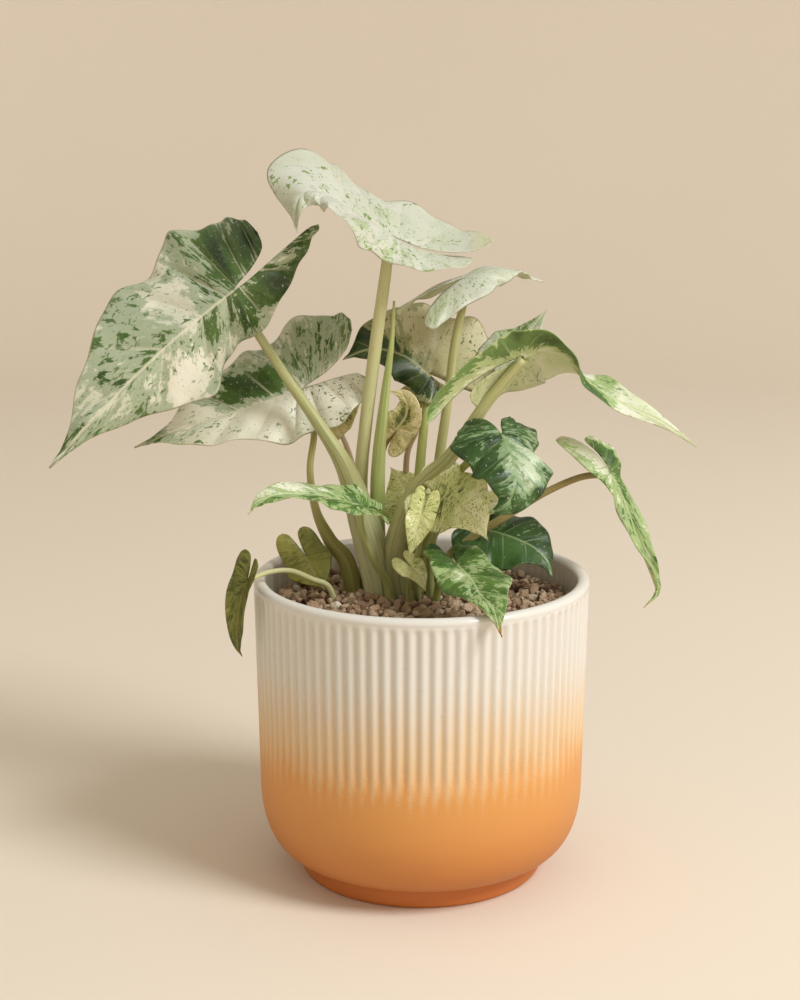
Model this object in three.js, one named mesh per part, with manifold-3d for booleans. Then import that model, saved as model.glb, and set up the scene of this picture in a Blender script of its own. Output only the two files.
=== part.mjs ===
// A potted splash giant taro: a ribbed ombre pot, potting soil, pumice gravel, leaf stalks and leaf blades.
// Millimetres, +Z up, +X to the right and -Y towards the front. The origin is the middle of the pot's foot.
import * as THREE from "three";
import { mergeVertices } from "three/addons/utils/BufferGeometryUtils.js";
import Module from "manifold-3d";

const wasm = await Module();
wasm.setup();

// Driving sizes of the pot.
const RIM_RADIUS = 80;
const POT_HEIGHT = 145.8;
const WALL = 6;
const FLOOR_THICKNESS = 12;
const BOWL_TOP_RADIUS = 78;
const BOWL_TOP = 45;
const FOOT_RADIUS = 58.5;
const FOOT_HEIGHT = 10;
const FOOT_CHAMFER = 0.8;
const LIP_HEIGHT = 2.6;
const BOWL_INSIDE_STEP = 6;
const BOWL_INSIDE_RISE = 10;
const BOWL_STEPS = 4;
const BOWL_EXPONENT = 2.23;
const RIB_COUNT = 88;
const RIB_DEPTH = 1.1;
const RIB_BOTTOM = 62;
const RIB_TOP = 141;
const RIB_FADE_LOW = 16;
const RIB_FADE_HIGH = 4;

// Driving sizes of what fills the pot.
const GRAVEL_TOP = 131;
const GRAVEL_BOTTOM = 124.6;
const GAP = 0.3;
const STONE_RINGS = 6;
const STONE_SIZE = 7.6;
const STONE_SPREAD = 1.2;

// Driving sizes of the blades.
const BLADE_HALF = 0.42;
const MIDRIB_DEPTH = 1.1;
const VEIN_RELIEF = 0.35;
const SCALLOP = 0.02;
const FRAME_STEPS = 24;
const HEART_KNOT = 4;
const COLUMN_POWER = 0.85;
const HALF_PHASE = 1.3;
const RIDGE_RISE = 6;

// Facets of the stalks.
const THICK_STALK = 2.5;
const THICK_SIDES = 8;
const THIN_SIDES = 6;
const STALK_STEPS = 5;
const STALK_STEPS_A_POINT = 1.4;
const PATH_STEPS = 32;

// The leaves, in millimetres and degrees. A pair holds the right half, then the left half.
const LEAVES = {
  big_left: {
    skin: "marbled",
    stalk: [
      [-19, 16, 121], [-23, 15, 148], [-28, 13, 168], [-36, 11, 194],
      [-47, 12, 213], [-65, 20, 238], [-78, 26, 257],
    ],
    thick: [6.5, 7.5, 7, 4.6, 3.1, 2.4, 2.1, 1.9],
    rib: [[-88, 4, 280], [-113, -3, 260], [-140, -12, 235], [-171, -24, 202]],
    face: [-0.35, -0.8, 0.5], turn: 0,
    wide: [51, 28], back: [28, 52],
    fold: [-8, -58], fore: [12, -42], curl: [-10, -30], lift: [-5, 15],
    belly: [0.08, 0.5], wave: [4.8, 3, 0.3], gap: 1, lobe: [1, 0.5],
    rows: [7, 10], cols: 3,
  },
  second_left: {
    skin: "marbled",
    stalk: [[-31, 21, 121], [-36, 23, 145], [-44, 24, 156], [-51, 26, 170], [-54, 28, 190], [-52, 31, 210]],
    thick: [4, 4.5, 3.6, 2.2, 1.7, 1.6, 1.5],
    rib: [[-57, 34, 230], [-81, 33, 221], [-110, 31, 212], [-139, 29, 201]],
    face: [-0.1, -0.55, 0.83], turn: 0,
    wide: [33, 25], back: [30, 31],
    fold: [25, -10], fore: [12.5, -5.0], curl: [-10, -20], lift: [30, 10],
    belly: [0, 0], wave: [3.8, 3, 1.3], gap: 1, lobe: [1, 1],
    rows: [6, 9], cols: 3,
  },
  top: {
    skin: "pale",
    stalk: [[-25, 26, 121], [-27, 25, 156], [-29, 24, 186], [-27, 22, 211], [-22, 18, 251], [-17, 14, 287]],
    thick: [4, 3.6, 3.3, 3.1, 3, 2.7, 2.3],
    rib: [[-14, 12, 305], [-32, 5, 317], [-48, 0, 326], [-56, -5, 323], [-57, -7, 308]],
    face: [0.4, -0.25, 0.88], turn: 0,
    wide: [34, 21], back: [48, 40],
    fold: [12, 5], fore: [2, 5], curl: [-10, -25], lift: [56, 34],
    belly: [0.6, 0.25], wave: [4.4, 3, 1.4], gap: 0.1, lobe: [1, 1],
    rows: [7, 8], cols: 3,
  },
  second_top: {
    skin: "pale",
    stalk: [[0, 29, 121], [5, 30, 155], [9, 31, 195], [13, 32, 224], [16, 32, 251], [20, 32, 270]],
    thick: [3.2, 2.8, 2.5, 2.2, 2, 1.9, 1.8],
    rib: [[22, 32, 284], [34, 42, 287], [47, 52, 284], [61, 62, 278]],
    face: [0.1, -0.1, 0.95], turn: 0,
    wide: [14, 16], back: [36, 36],
    fold: [10, -5], fore: [5.0, -2.5], curl: [-60, -60], lift: [-40, -15],
    belly: [0, 0], wave: [3, 3, 0.5], gap: 1, lobe: [1.2, 1.2],
    rows: [4, 5], cols: 3,
  },
  centre_dark: {
    skin: "dark",
    stalk: [[-4, 25, 121], [-3, 26, 153], [-1, 28, 185], [1, 32, 207], [3, 36, 223]],
    thick: [3, 2.8, 2.5, 2.2, 2, 1.8],
    rib: [[4, 38, 236], [-9, 38, 245], [-24, 38, 248], [-38, 37, 243]],
    face: [0.1, -0.6, 0.8], turn: 0,
    wide: [33, 13], back: [33, 14],
    fold: [35, -15], fore: [17.5, -7.5], curl: [-20, -40], lift: [5, 12],
    belly: [0, 0], wave: [3.4, 3, 0.9], gap: 1, lobe: [1, 1],
    rows: [4, 10], cols: 2,
  },
  right_arch: {
    skin: "green",
    stalk: [[-9, 15, 121], [-13, 12, 149], [-10, 10, 167], [-1, 8, 187], [14, 6, 202], [30, 3, 227]],
    thick: [4.6, 4.8, 4.4, 4, 3.4, 2.8, 2.3],
    rib: [
      [47, 0, 250], [56, 0, 253], [68, 0, 248], [78, -2, 238],
      [93, -5, 229], [111, -8, 221], [128, -10, 209],
    ],
    face: [-0.2, 0.78, 0.5], turn: 120,
    wide: [15, 19], back: [58, 30],
    fold: [0, 5], fore: [0, 5], curl: [-10, -20], lift: [-56, -20],
    belly: [-0.1, -0.05], wave: [2.8, 3, 0.2], gap: 1, lobe: [1, 1],
    rows: [4, 14], cols: 2,
  },
  dark_droop: {
    skin: "dark",
    stalk: [[-1, 20, 121], [2, 20, 150], [6, 19, 167], [9, 17, 179], [17, 11, 192], [27, 1, 204]],
    thick: [2.6, 2.4, 2.2, 2, 1.9, 1.8, 1.6],
    rib: [[37, -14, 216], [41, -27, 208], [42, -37, 198], [38, -41, 189], [30, -41, 185]],
    face: [0.1, -0.5, 0.86], turn: 0,
    wide: [22, 22], back: [15, 15],
    fold: [-8, -10], fore: [-8, -10], curl: [-32, -38], lift: [-6, -12],
    belly: [0, 0], wave: [3.4, 3, 1], gap: 1, lobe: [1, 1],
    rows: [4, 10], cols: 2,
  },
  far_right: {
    skin: "green",
    stalk: [
      [10, 22, 121], [12, 19, 147], [26, 14, 161], [38, 9, 170],
      [47, 8, 176], [60, 8, 184], [76, 8, 191],
    ],
    thick: [2.4, 2.2, 2, 1.8, 1.7, 1.6, 1.5],
    rib: [[90, 6, 193], [96, 5, 181], [103, 2, 162], [110, -1, 145], [112, -3, 137], [106, -5, 130]],
    face: [0.62, -0.6, 0.5], turn: 0,
    wide: [7.5, 7], back: [29, 22],
    fold: [12, 22], fore: [60, 60], curl: [-30, -30], lift: [-50, -50],
    belly: [0, 0], wave: [2.2, 3, 0.6], gap: 1, lobe: [1.9, 1.7],
    rows: [4, 10], cols: 2,
  },
  front_left: {
    skin: "green",
    stalk: [[-15, 6, 121], [-16, 4, 139], [-23, -2, 153], [-28, -11, 169]],
    thick: [2.4, 2, 1.8, 1.6, 1.5],
    rib: [[-29, -14, 182], [-45, -22, 188], [-60, -30, 191], [-73, -36, 190], [-79, -40, 184]],
    face: [0, -0.35, 0.93], turn: 0,
    wide: [12, 11.5], back: [15, 15],
    fold: [20, 20], fore: [10.0, 10.0], curl: [-20, -20], lift: [-15, -20],
    belly: [0, 0], wave: [2, 3, 0.4], gap: 1, lobe: [1, 1],
    rows: [4, 10], cols: 2,
  },
  left_small: {
    skin: "olive",
    stalk: [[-44, 27, 121], [-53, 25, 137]],
    thick: [1.6, 1.4, 1.2],
    rib: [[-56, 17, 150], [-51, 14, 142], [-46, 11, 134]],
    face: [0, -0.9, 0.4], turn: 0,
    wide: [11, 10], back: [15, 13],
    fold: [15, 15], fore: [7.5, 7.5], curl: [-20, -20], lift: [0, 0],
    belly: [0.3, 0.3], wave: [0.8, 2, 0.4], gap: 1, lobe: [1, 1],
    rows: [4, 5], cols: 2,
  },
  far_left_small: {
    skin: "olive",
    stalk: [[-40, 8, 121], [-44, 2, 138], [-52, -4, 144], [-62, -11, 150], [-72, -18, 151]],
    thick: [1.5, 1.4, 1.3, 1.2, 1.2, 1.1],
    rib: [[-81, -24, 149], [-84, -25, 140], [-86, -25, 127], [-86, -26, 118], [-84, -28, 113]],
    face: [-0.6, -0.75, 0.2], turn: 0,
    wide: [8, 8], back: [13, 11],
    fold: [35, 35], fore: [17.5, 17.5], curl: [-10, -10], lift: [10, 10],
    belly: [0, 0], wave: [0.8, 2, 0.4], gap: 1, lobe: [1, 1],
    rows: [4, 5], cols: 2,
  },
  front_right: {
    skin: "green",
    stalk: [[6, 2, 121], [8, -4, 140], [11, -14, 150]],
    thick: [2, 1.8, 1.6, 1.5],
    rib: [[16, -25, 157], [22, -42, 154], [26, -59, 151], [31, -75, 149], [34, -87, 140]],
    face: [0.1, -0.55, 0.83], turn: 0,
    wide: [13, 13.5], back: [17, 16],
    fold: [22, 18], fore: [11.0, 9.0], curl: [-20, -20], lift: [10, 0],
    belly: [0.5, 0.5], wave: [1.8, 3, 0.4], gap: 1, lobe: [1, 1],
    rows: [4, 10], cols: 2,
  },
  dark_low: {
    skin: "dark",
    stalk: [[14, 30, 121], [20, 28, 144], [26, 25, 153]],
    thick: [2, 1.8, 1.6, 1.5],
    rib: [[32, 21, 162], [42, 17, 160], [53, 13, 156], [60, 10, 150], [63, 7, 142]],
    face: [0, -0.5, 0.86], turn: 0,
    wide: [18, 15], back: [14, 14],
    fold: [10, 10], fore: [5.0, 5.0], curl: [-20, -20], lift: [0, 0],
    belly: [0.4, 0.35], wave: [2, 3, 0.4], gap: 1, lobe: [1, 1],
    rows: [4, 5], cols: 2,
  },
  cream_point: {
    skin: "pale",
    stalk: [[6, 11, 121], [4, 7, 150], [7, 3, 167]],
    thick: [2, 1.8, 1.6, 1.5],
    rib: [[10, -1, 183], [18, -4, 180], [25, -8, 174], [31, -12, 165]],
    face: [0, -0.8, 0.6], turn: 0,
    wide: [17, 17], back: [15, 15],
    fold: [10, 15], fore: [5.0, 7.5], curl: [-20, -20], lift: [0, 0],
    belly: [0.2, 0.2], wave: [2.6, 3, 0.4], gap: 1, lobe: [1, 1],
    rows: [4, 5], cols: 2,
  },
  cream_right: {
    skin: "pale",
    stalk: [[12, 38, 121], [22, 43, 146], [31, 42, 164]],
    thick: [1.8, 1.6, 1.4, 1.3],
    rib: [[35, 29, 174], [43, 23, 176], [51, 16, 175]],
    face: [0, -0.7, 0.7], turn: 0,
    wide: [8, 8], back: [8, 8],
    fold: [10, 10], fore: [5.0, 5.0], curl: [-20, -20], lift: [0, 0],
    belly: [0, 0], wave: [1, 2, 0.4], gap: 1, lobe: [1, 1],
    rows: [4, 5], cols: 2,
  },
  marbled_low: {
    skin: "marbled",
    stalk: [[0, 14, 121], [-3, 1, 145], [-1, -8, 162]],
    thick: [1.8, 1.6, 1.4, 1.3],
    rib: [[0, -15, 179], [-3, -17, 169], [-6, -18, 158]],
    face: [0, -0.95, 0.3], turn: 0,
    wide: [7, 7], back: [12, 12],
    fold: [20, 20], fore: [10.0, 10.0], curl: [-20, -20], lift: [0, 0],
    belly: [0, 0], wave: [1, 2, 0.4], gap: 1, lobe: [1, 1],
    rows: [4, 5], cols: 2,
  },
  cream_low: {
    skin: "pale",
    stalk: [[-3, 3, 121], [-6, -2, 137]],
    thick: [1.8, 1.5, 1.3],
    rib: [[-5, -8, 151], [-1, -13, 148], [2, -16, 141]],
    face: [0, -0.8, 0.6], turn: 0,
    wide: [7, 6], back: [9, 9],
    fold: [20, 20], fore: [10.0, 10.0], curl: [-20, -20], lift: [0, 0],
    belly: [0, 0], wave: [1, 2, 0.4], gap: 1, lobe: [1, 1],
    rows: [4, 5], cols: 2,
  },
  olive_back: {
    skin: "olive",
    stalk: [[-9, 34, 121], [-9, 36, 146], [-6, 38, 163]],
    thick: [2, 1.8, 1.6, 1.4],
    rib: [[-5, 38, 173], [-9, 42, 180], [-15, 46, 188]],
    face: [0, -0.9, 0.4], turn: 0,
    wide: [14, 15], back: [12, 12],
    fold: [10, 10], fore: [5.0, 5.0], curl: [-20, -20], lift: [0, 0],
    belly: [0, 0], wave: [1.6, 2, 0.4], gap: 1, lobe: [1, 1],
    rows: [4, 5], cols: 2,
  },
  tan_mid: {
    skin: "tan",
    stalk: [[-17, 34, 121], [-19, 34, 154], [-20, 34, 184], [-18, 34, 200]],
    thick: [2, 1.8, 1.5, 1.3, 1.2],
    rib: [[-12, 28, 210], [-7, 28, 218], [-8, 29, 226], [-16, 30, 229]],
    face: [0, -0.9, 0.4], turn: 0,
    wide: [9, 8], back: [12, 9],
    fold: [10, 10], fore: [5.0, 5.0], curl: [-20, -20], lift: [0, 0],
    belly: [0, 0], wave: [1, 2, 0.4], gap: 1, lobe: [1, 1],
    rows: [4, 5], cols: 2,
  },
  tan_left: {
    skin: "tan",
    stalk: [[-27, 35, 121], [-27, 35, 153], [-34, 35, 193]],
    thick: [2, 1.8, 1.4, 1.2],
    rib: [[-42, 35, 213], [-35, 34, 220], [-28, 33, 227]],
    face: [0, -0.9, 0.4], turn: 0,
    wide: [8, 9], back: [9, 8],
    fold: [10, 10], fore: [5.0, 5.0], curl: [-20, -20], lift: [0, 0],
    belly: [0, 0], wave: [1, 2, 0.4], gap: 1, lobe: [1, 1],
    rows: [4, 5], cols: 2,
  },
  tan_under: {
    skin: "tan",
    stalk: [[-1, 38, 121], [-6, 42, 149], [-7, 46, 191], [-2, 47, 207]],
    thick: [2, 1.8, 1.5, 1.3, 1.2],
    rib: [[-1, 47, 225], [7, 52, 228], [16, 56, 225]],
    face: [0, -0.6, 0.8], turn: 0,
    wide: [9, 8], back: [9, 9],
    fold: [10, 10], fore: [5.0, 5.0], curl: [-20, -20], lift: [0, 0],
    belly: [0, 0], wave: [1, 2, 0.4], gap: 1, lobe: [1, 1],
    rows: [4, 5], cols: 2,
  },
  back_pale: {
    skin: "pale",
    stalk: [[9, 44, 121], [4, 44, 156], [17, 44, 195], [34, 42, 225]],
    thick: [2.2, 2, 1.8, 1.6, 1.5],
    rib: [[42, 42, 246], [51, 46, 253], [62, 50, 266]],
    face: [-0.3, -0.7, 0.6], turn: 0,
    wide: [12, 12], back: [12, 12],
    fold: [20, 20], fore: [10.0, 10.0], curl: [-20, -20], lift: [0, 0],
    belly: [0, 0], wave: [1, 2, 0.4], gap: 1, lobe: [1, 1],
    rows: [4, 5], cols: 2,
  },};
const SPEAR = {
  path: [
    [-21, 22, 121], [-21, 21, 147], [-21, 19, 177], [-20, 19, 202],
    [-17, 18, 231], [-14, 17, 255], [-13, 17, 274],
  ],
  thick: [3, 3.4, 3.5, 3, 2.1, 1.2, 0.5],
};

// Colours, roughness and metalness of the materials.
const FINISHES = {
  glaze: { color: 0xe9dccb, roughness: 0.32 },
  soil: { color: 0x3a2a1e, roughness: 0.95 },
  pumice: { color: 0xb79a88, roughness: 0.92 },
  stalk: { color: 0xa9b07c, roughness: 0.45 },
  spear: { color: 0x76a544, roughness: 0.42 },
  marbled: { color: 0x9fae8c, roughness: 0.4 },
  pale: { color: 0xdcdcc2, roughness: 0.45 },
  green: { color: 0x6f9a45, roughness: 0.4 },
  dark: { color: 0x2f6233, roughness: 0.38 },
  olive: { color: 0x86873a, roughness: 0.45 },
  tan: { color: 0xc2b080, roughness: 0.5 },
};
const materials = {};
for (const [name, finish] of Object.entries(FINISHES)) {
  materials[name] = new THREE.MeshStandardMaterial({ ...finish, metalness: 0 });
  materials[name].name = name;
}

const rad = THREE.MathUtils.degToRad;
const point = (x, y, z) => new THREE.Vector3(x, y, z);
const vector = (triple) => new THREE.Vector3(...triple);

// A seeded draw between 0 and 1.
let seed = 20251;
function draw() {
  seed = (seed * 1664525 + 1013904223) % 4294967296;
  return seed / 4294967296;
}

// A smooth curve through points of any length, at 0 to 1, as one cubic between two neighbours.
function along(points, at) {
  const last = points.length - 1;
  const place = Math.min(Math.max(at, 0), 1) * last;
  const i = Math.min(Math.floor(place), last - 1);
  const t = place - i;
  const get = (k) => {
    if (k < 0) return points[0].map((value, axis) => 2 * value - points[1][axis]);
    if (k > last) return points[last].map((value, axis) => 2 * value - points[last - 1][axis]);
    return points[k];
  };
  const [a, b, c, d] = [get(i - 1), get(i), get(i + 1), get(i + 2)];
  return b.map((_, axis) => {
    const slope = (c[axis] - a[axis]) / 2;
    const nextSlope = (d[axis] - b[axis]) / 2;
    const rise = c[axis] - b[axis];
    return b[axis] + slope * t + (3 * rise - 2 * slope - nextSlope) * t * t +
      (slope + nextSlope - 2 * rise) * t * t * t;
  });
}

// A mesh's geometry from corner points and triangles.
function geometryOf(corners, triangles) {
  const geometry = new THREE.BufferGeometry();
  const numbers = corners.flatMap((corner) => [corner.x, corner.y, corner.z]);
  geometry.setAttribute("position", new THREE.Float32BufferAttribute(numbers, 3));
  geometry.setIndex(triangles.flat());
  return geometry;
}

// A geometry as a solid for cutting and joining.
function solidOf(geometry) {
  const bare = geometry.clone();
  bare.deleteAttribute("normal");
  bare.deleteAttribute("uv");
  const merged = mergeVertices(bare, 1e-4);
  return new wasm.Manifold(new wasm.Mesh({
    numProp: 3,
    vertProperties: new Float32Array(merged.attributes.position.array),
    triVerts: new Uint32Array(merged.index.array),
  }));
}

// A solid back as a geometry, without loose scraps.
function geometryOfSolid(solid) {
  const pieces = solid.decompose();
  const whole = pieces.reduce((best, piece) => (piece.volume() > best.volume() ? piece : best));
  const mesh = whole.getMesh();
  const geometry = new THREE.BufferGeometry();
  geometry.setAttribute("position", new THREE.BufferAttribute(mesh.vertProperties, 3));
  geometry.setIndex(new THREE.BufferAttribute(mesh.triVerts, 1));
  return geometry;
}

const plant = new THREE.Group();
plant.name = "potted_splash_giant_taro";

function addPiece(name, geometry, finish) {
  geometry.computeVertexNormals();
  const mesh = new THREE.Mesh(geometry, materials[finish]);
  mesh.name = name;
  plant.add(mesh);
}

// Rings of corners stacked into a skin. A ring may have half as many corners as its neighbour.
function stackRings(rings) {
  const corners = [];
  const starts = rings.map((ring) => {
    corners.push(...ring);
    return corners.length - ring.length;
  });
  const triangles = [];
  for (let r = 0; r + 1 < rings.length; r++) {
    const [low, high] = [rings[r].length, rings[r + 1].length];
    const count = Math.max(low, high);
    const lowAt = (k) => starts[r] + Math.floor((k % count) * low / count);
    const highAt = (k) => starts[r + 1] + Math.floor((k % count) * high / count);
    for (let k = 0; k < count; k++) {
      const [a, b, c, d] = [lowAt(k), lowAt(k + 1), highAt(k + 1), highAt(k)];
      if (a !== b) triangles.push([a, b, c]);
      if (c !== d) triangles.push([a, c, d]);
    }
  }
  return { corners, triangles, starts };
}

// The pot: a ribbed wall on a round bowl, with a rolled lip, an inside and a flat foot.
function potGeometry() {
  const circle = (radius, z, count, ridge = 0) =>
    Array.from({ length: count }, (_, k) => {
      const angle = 2 * Math.PI * k / count;
      const r = radius - (k % 2 ? ridge : 0);
      return point(r * Math.cos(angle), r * Math.sin(angle), z);
    });
  const coarse = RIB_COUNT / 2;
  const wallRadius = (z) =>
    THREE.MathUtils.mapLinear(z, BOWL_TOP, POT_HEIGHT, BOWL_TOP_RADIUS, RIM_RADIUS);
  const rings = [
    circle(FOOT_RADIUS - FOOT_CHAMFER, 0, coarse),
    circle(FOOT_RADIUS, FOOT_CHAMFER, coarse),
    circle(FOOT_RADIUS, FOOT_HEIGHT - 1, coarse),
  ];
  for (let k = BOWL_STEPS; k >= 0; k--) {
    const angle = Math.PI / 2 * k / BOWL_STEPS;
    const r = FOOT_RADIUS + (BOWL_TOP_RADIUS - FOOT_RADIUS) * Math.cos(angle) ** (2 / BOWL_EXPONENT);
    const z = BOWL_TOP - (BOWL_TOP - FOOT_HEIGHT) * Math.sin(angle) ** (2 / BOWL_EXPONENT);
    rings.push(circle(r, z, RIB_COUNT));
  }
  const ribbed = 2 * RIB_COUNT;
  rings.push(
    circle(wallRadius(RIB_BOTTOM), RIB_BOTTOM, ribbed),
    circle(wallRadius(RIB_BOTTOM + RIB_FADE_LOW), RIB_BOTTOM + RIB_FADE_LOW, ribbed, RIB_DEPTH),
    circle(wallRadius(RIB_TOP - RIB_FADE_HIGH), RIB_TOP - RIB_FADE_HIGH, ribbed, RIB_DEPTH),
    circle(wallRadius(RIB_TOP), RIB_TOP, ribbed),
    circle(RIM_RADIUS, POT_HEIGHT - LIP_HEIGHT, RIB_COUNT),
  );
  const lip = WALL / 2;
  for (const angle of [40, 90, 140]) {
    const r = RIM_RADIUS - lip + lip * Math.cos(rad(angle));
    rings.push(circle(r, POT_HEIGHT - LIP_HEIGHT * (1 - Math.sin(rad(angle))), coarse));
  }
  const inner = RIM_RADIUS - WALL;
  rings.push(
    circle(inner, POT_HEIGHT - LIP_HEIGHT - GAP, coarse),
    circle(inner, BOWL_TOP, coarse),
    circle(inner - BOWL_INSIDE_STEP, FLOOR_THICKNESS + BOWL_INSIDE_RISE, coarse),
    circle(FOOT_RADIUS - BOWL_INSIDE_STEP, FLOOR_THICKNESS, coarse),
  );
  const { corners, triangles, starts } = stackRings(rings);
  const under = corners.push(point(0, 0, 0)) - 1;
  const floor = corners.push(point(0, 0, FLOOR_THICKNESS)) - 1;
  const last = starts[starts.length - 1];
  for (let k = 0; k < coarse; k++) {
    const next = (k + 1) % coarse;
    triangles.push([under, next, k]);
    triangles.push([floor, last + k, last + next]);
  }
  return geometryOf(corners, triangles);
}

// Frames down a curve: a place, a forward, an upward and a sideways direction at each step.
function framesDown(points, upHint, steps) {
  const places = Array.from({ length: steps + 1 }, (_, k) => vector(along(points, k / steps)));
  const frames = [];
  let up = upHint.clone();
  for (let k = 0; k <= steps; k++) {
    const before = places[Math.max(k - 1, 0)];
    const after = places[Math.min(k + 1, steps)];
    const forward = after.clone().sub(before).normalize();
    up = up.clone().addScaledVector(forward, -up.dot(forward)).normalize();
    frames.push({ place: places[k], forward, up, side: forward.clone().cross(up) });
  }
  return frames;
}

// A tapered round stalk along a curve, closed at both ends.
function stalkGeometry(points, thick, sides, steps, extra = 0) {
  const frames = framesDown(points, point(0.3, -1, 0.2), steps);
  const rings = frames.map((frame, k) => {
    const [radius] = along(thick.map((value) => [value]), k / steps);
    return Array.from({ length: sides }, (_, n) => {
      const angle = 2 * Math.PI * n / sides;
      return frame.place.clone()
        .addScaledVector(frame.side, (radius + extra) * Math.cos(angle))
        .addScaledVector(frame.up, (radius + extra) * Math.sin(angle));
    });
  });
  const first = frames[0];
  const end = frames[steps];
  first.place.addScaledVector(first.forward, -extra);
  rings[0].forEach((corner) => corner.addScaledVector(first.forward, -extra));
  end.place.addScaledVector(end.forward, extra);
  rings[steps].forEach((corner) => corner.addScaledVector(end.forward, extra));
  const { corners, triangles, starts } = stackRings(rings);
  const foot = corners.push(first.place) - 1;
  const top = corners.push(end.place) - 1;
  for (let n = 0; n < sides; n++) {
    const next = (n + 1) % sides;
    triangles.push([foot, next, n]);
    triangles.push([top, starts[steps] + n, starts[steps] + next]);
  }
  return geometryOf(corners, triangles.map(([a, b, c]) => [a, c, b]));
}

// The outline of half a blade, from the end of its back lobe round to the tip.
// A pair is the way along the midrib and the way out. Behind the heart the first is a share of the
// lobe's length, before it of the midrib's; the second is a share of the half's width.
const MARGIN = [
  [-1, 0.4], [-0.99, 0.64], [-0.8, 0.88], [-0.38, 1], [0.07, 1],
  [0.27, 0.93], [0.5, 0.68], [0.72, 0.36], [0.89, 0.1], [1, 0],
];
const INNER = [
  [-1, 0.4], [-0.86, 0.2], [-0.5, 0.08], [-0.16, 0.03], [0, 0],
  [0.1, 0], [0.3, 0], [0.54, 0], [0.79, 0], [1, 0],
];

// What a blade needs at every point: its length, its frames and its numbers by side.
function bladePlan(leaf) {
  const frames = framesDown(leaf.rib, vector(leaf.face), FRAME_STEPS);
  let length = 0;
  for (let k = 1; k <= FRAME_STEPS; k++) length += frames[k].place.distanceTo(frames[k - 1].place);
  return { ...leaf, frames, length };
}

function frameAt(plan, share) {
  const place = Math.min(Math.max(share, 0), 1) * FRAME_STEPS;
  const k = Math.min(Math.floor(place), FRAME_STEPS - 1);
  const mix = (key) => plan.frames[k][key].clone().lerp(plan.frames[k + 1][key], place - k);
  return { place: mix("place"), forward: mix("forward"), up: mix("up"), side: mix("side") };
}

// A point of the blade's middle surface. Round runs from the back lobe to the tip, out from the
// midrib or the notch to the margin.
function bladePoint(plan, half, round, out) {
  const hand = half === 0 ? 1 : -1;
  const [swell, count, phase] = plan.wave;
  const scaled = (pairs) => pairs.map(([down, across]) => {
    const back = Math.max(-down, 0);
    const shut = (1 - plan.gap) * INNER[0][1] * back ** 2;
    const slim = THREE.MathUtils.lerp(1, plan.lobe[half], Math.min(2 * back, 1));
    return [down * (down < 0 ? plan.back[half] : plan.length), (across - shut) * slim * plan.wide[half]];
  });
  const edge = along(scaled(MARGIN), round);
  const root = along(scaled(INNER), round);
  const scallop = SCALLOP * swell * Math.sin(2 * Math.PI * (count + 2) * round + 2 * phase + half);
  edge[1] *= 1 + scallop * Math.sin(Math.PI * round);
  const down = root[0] + (edge[0] - root[0]) * out;
  const share = down / plan.length;
  const belly = 1 + plan.belly[half] * Math.sin(Math.PI * Math.max(share, 0));
  const across = (root[1] + (edge[1] - root[1]) * out) * belly;
  const frame = frameAt(plan, share);
  if (down < 0) {
    const bend = rad(plan.lift[half]) * (-down / plan.back[half]);
    frame.place.addScaledVector(frame.forward, down * Math.cos(bend / 2));
    frame.place.addScaledVector(frame.up, -down * Math.sin(bend / 2));
    frame.up.applyAxisAngle(frame.side, bend);
  }
  const turned = rad(plan.turn) * THREE.MathUtils.smoothstep(share, 0.2, 0.75);
  frame.up.applyAxisAngle(frame.forward, turned);
  frame.side.applyAxisAngle(frame.forward, turned);
  const reach = across / plan.wide[half];
  const fold = rad(THREE.MathUtils.lerp(plan.fold[half], plan.fore[half], Math.max(share, 0)));
  const middle = fold + rad(plan.curl[half]) * reach / 2;
  const outer = fold + rad(plan.curl[half]) * reach;
  const relief = VEIN_RELIEF * Math.cos(2 * Math.PI * round * (MARGIN.length - 1)) * 4 * out * (1 - out);
  const wave = swell * out * out * Math.sin(2 * Math.PI * count * round + phase + HALF_PHASE * half) *
    Math.sin(Math.PI * round) + relief;
  return frame.place
    .addScaledVector(frame.side, hand * (across * Math.cos(middle) - wave * Math.sin(outer)))
    .addScaledVector(frame.up, across * Math.sin(middle) + wave * Math.cos(outer));
}

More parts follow.
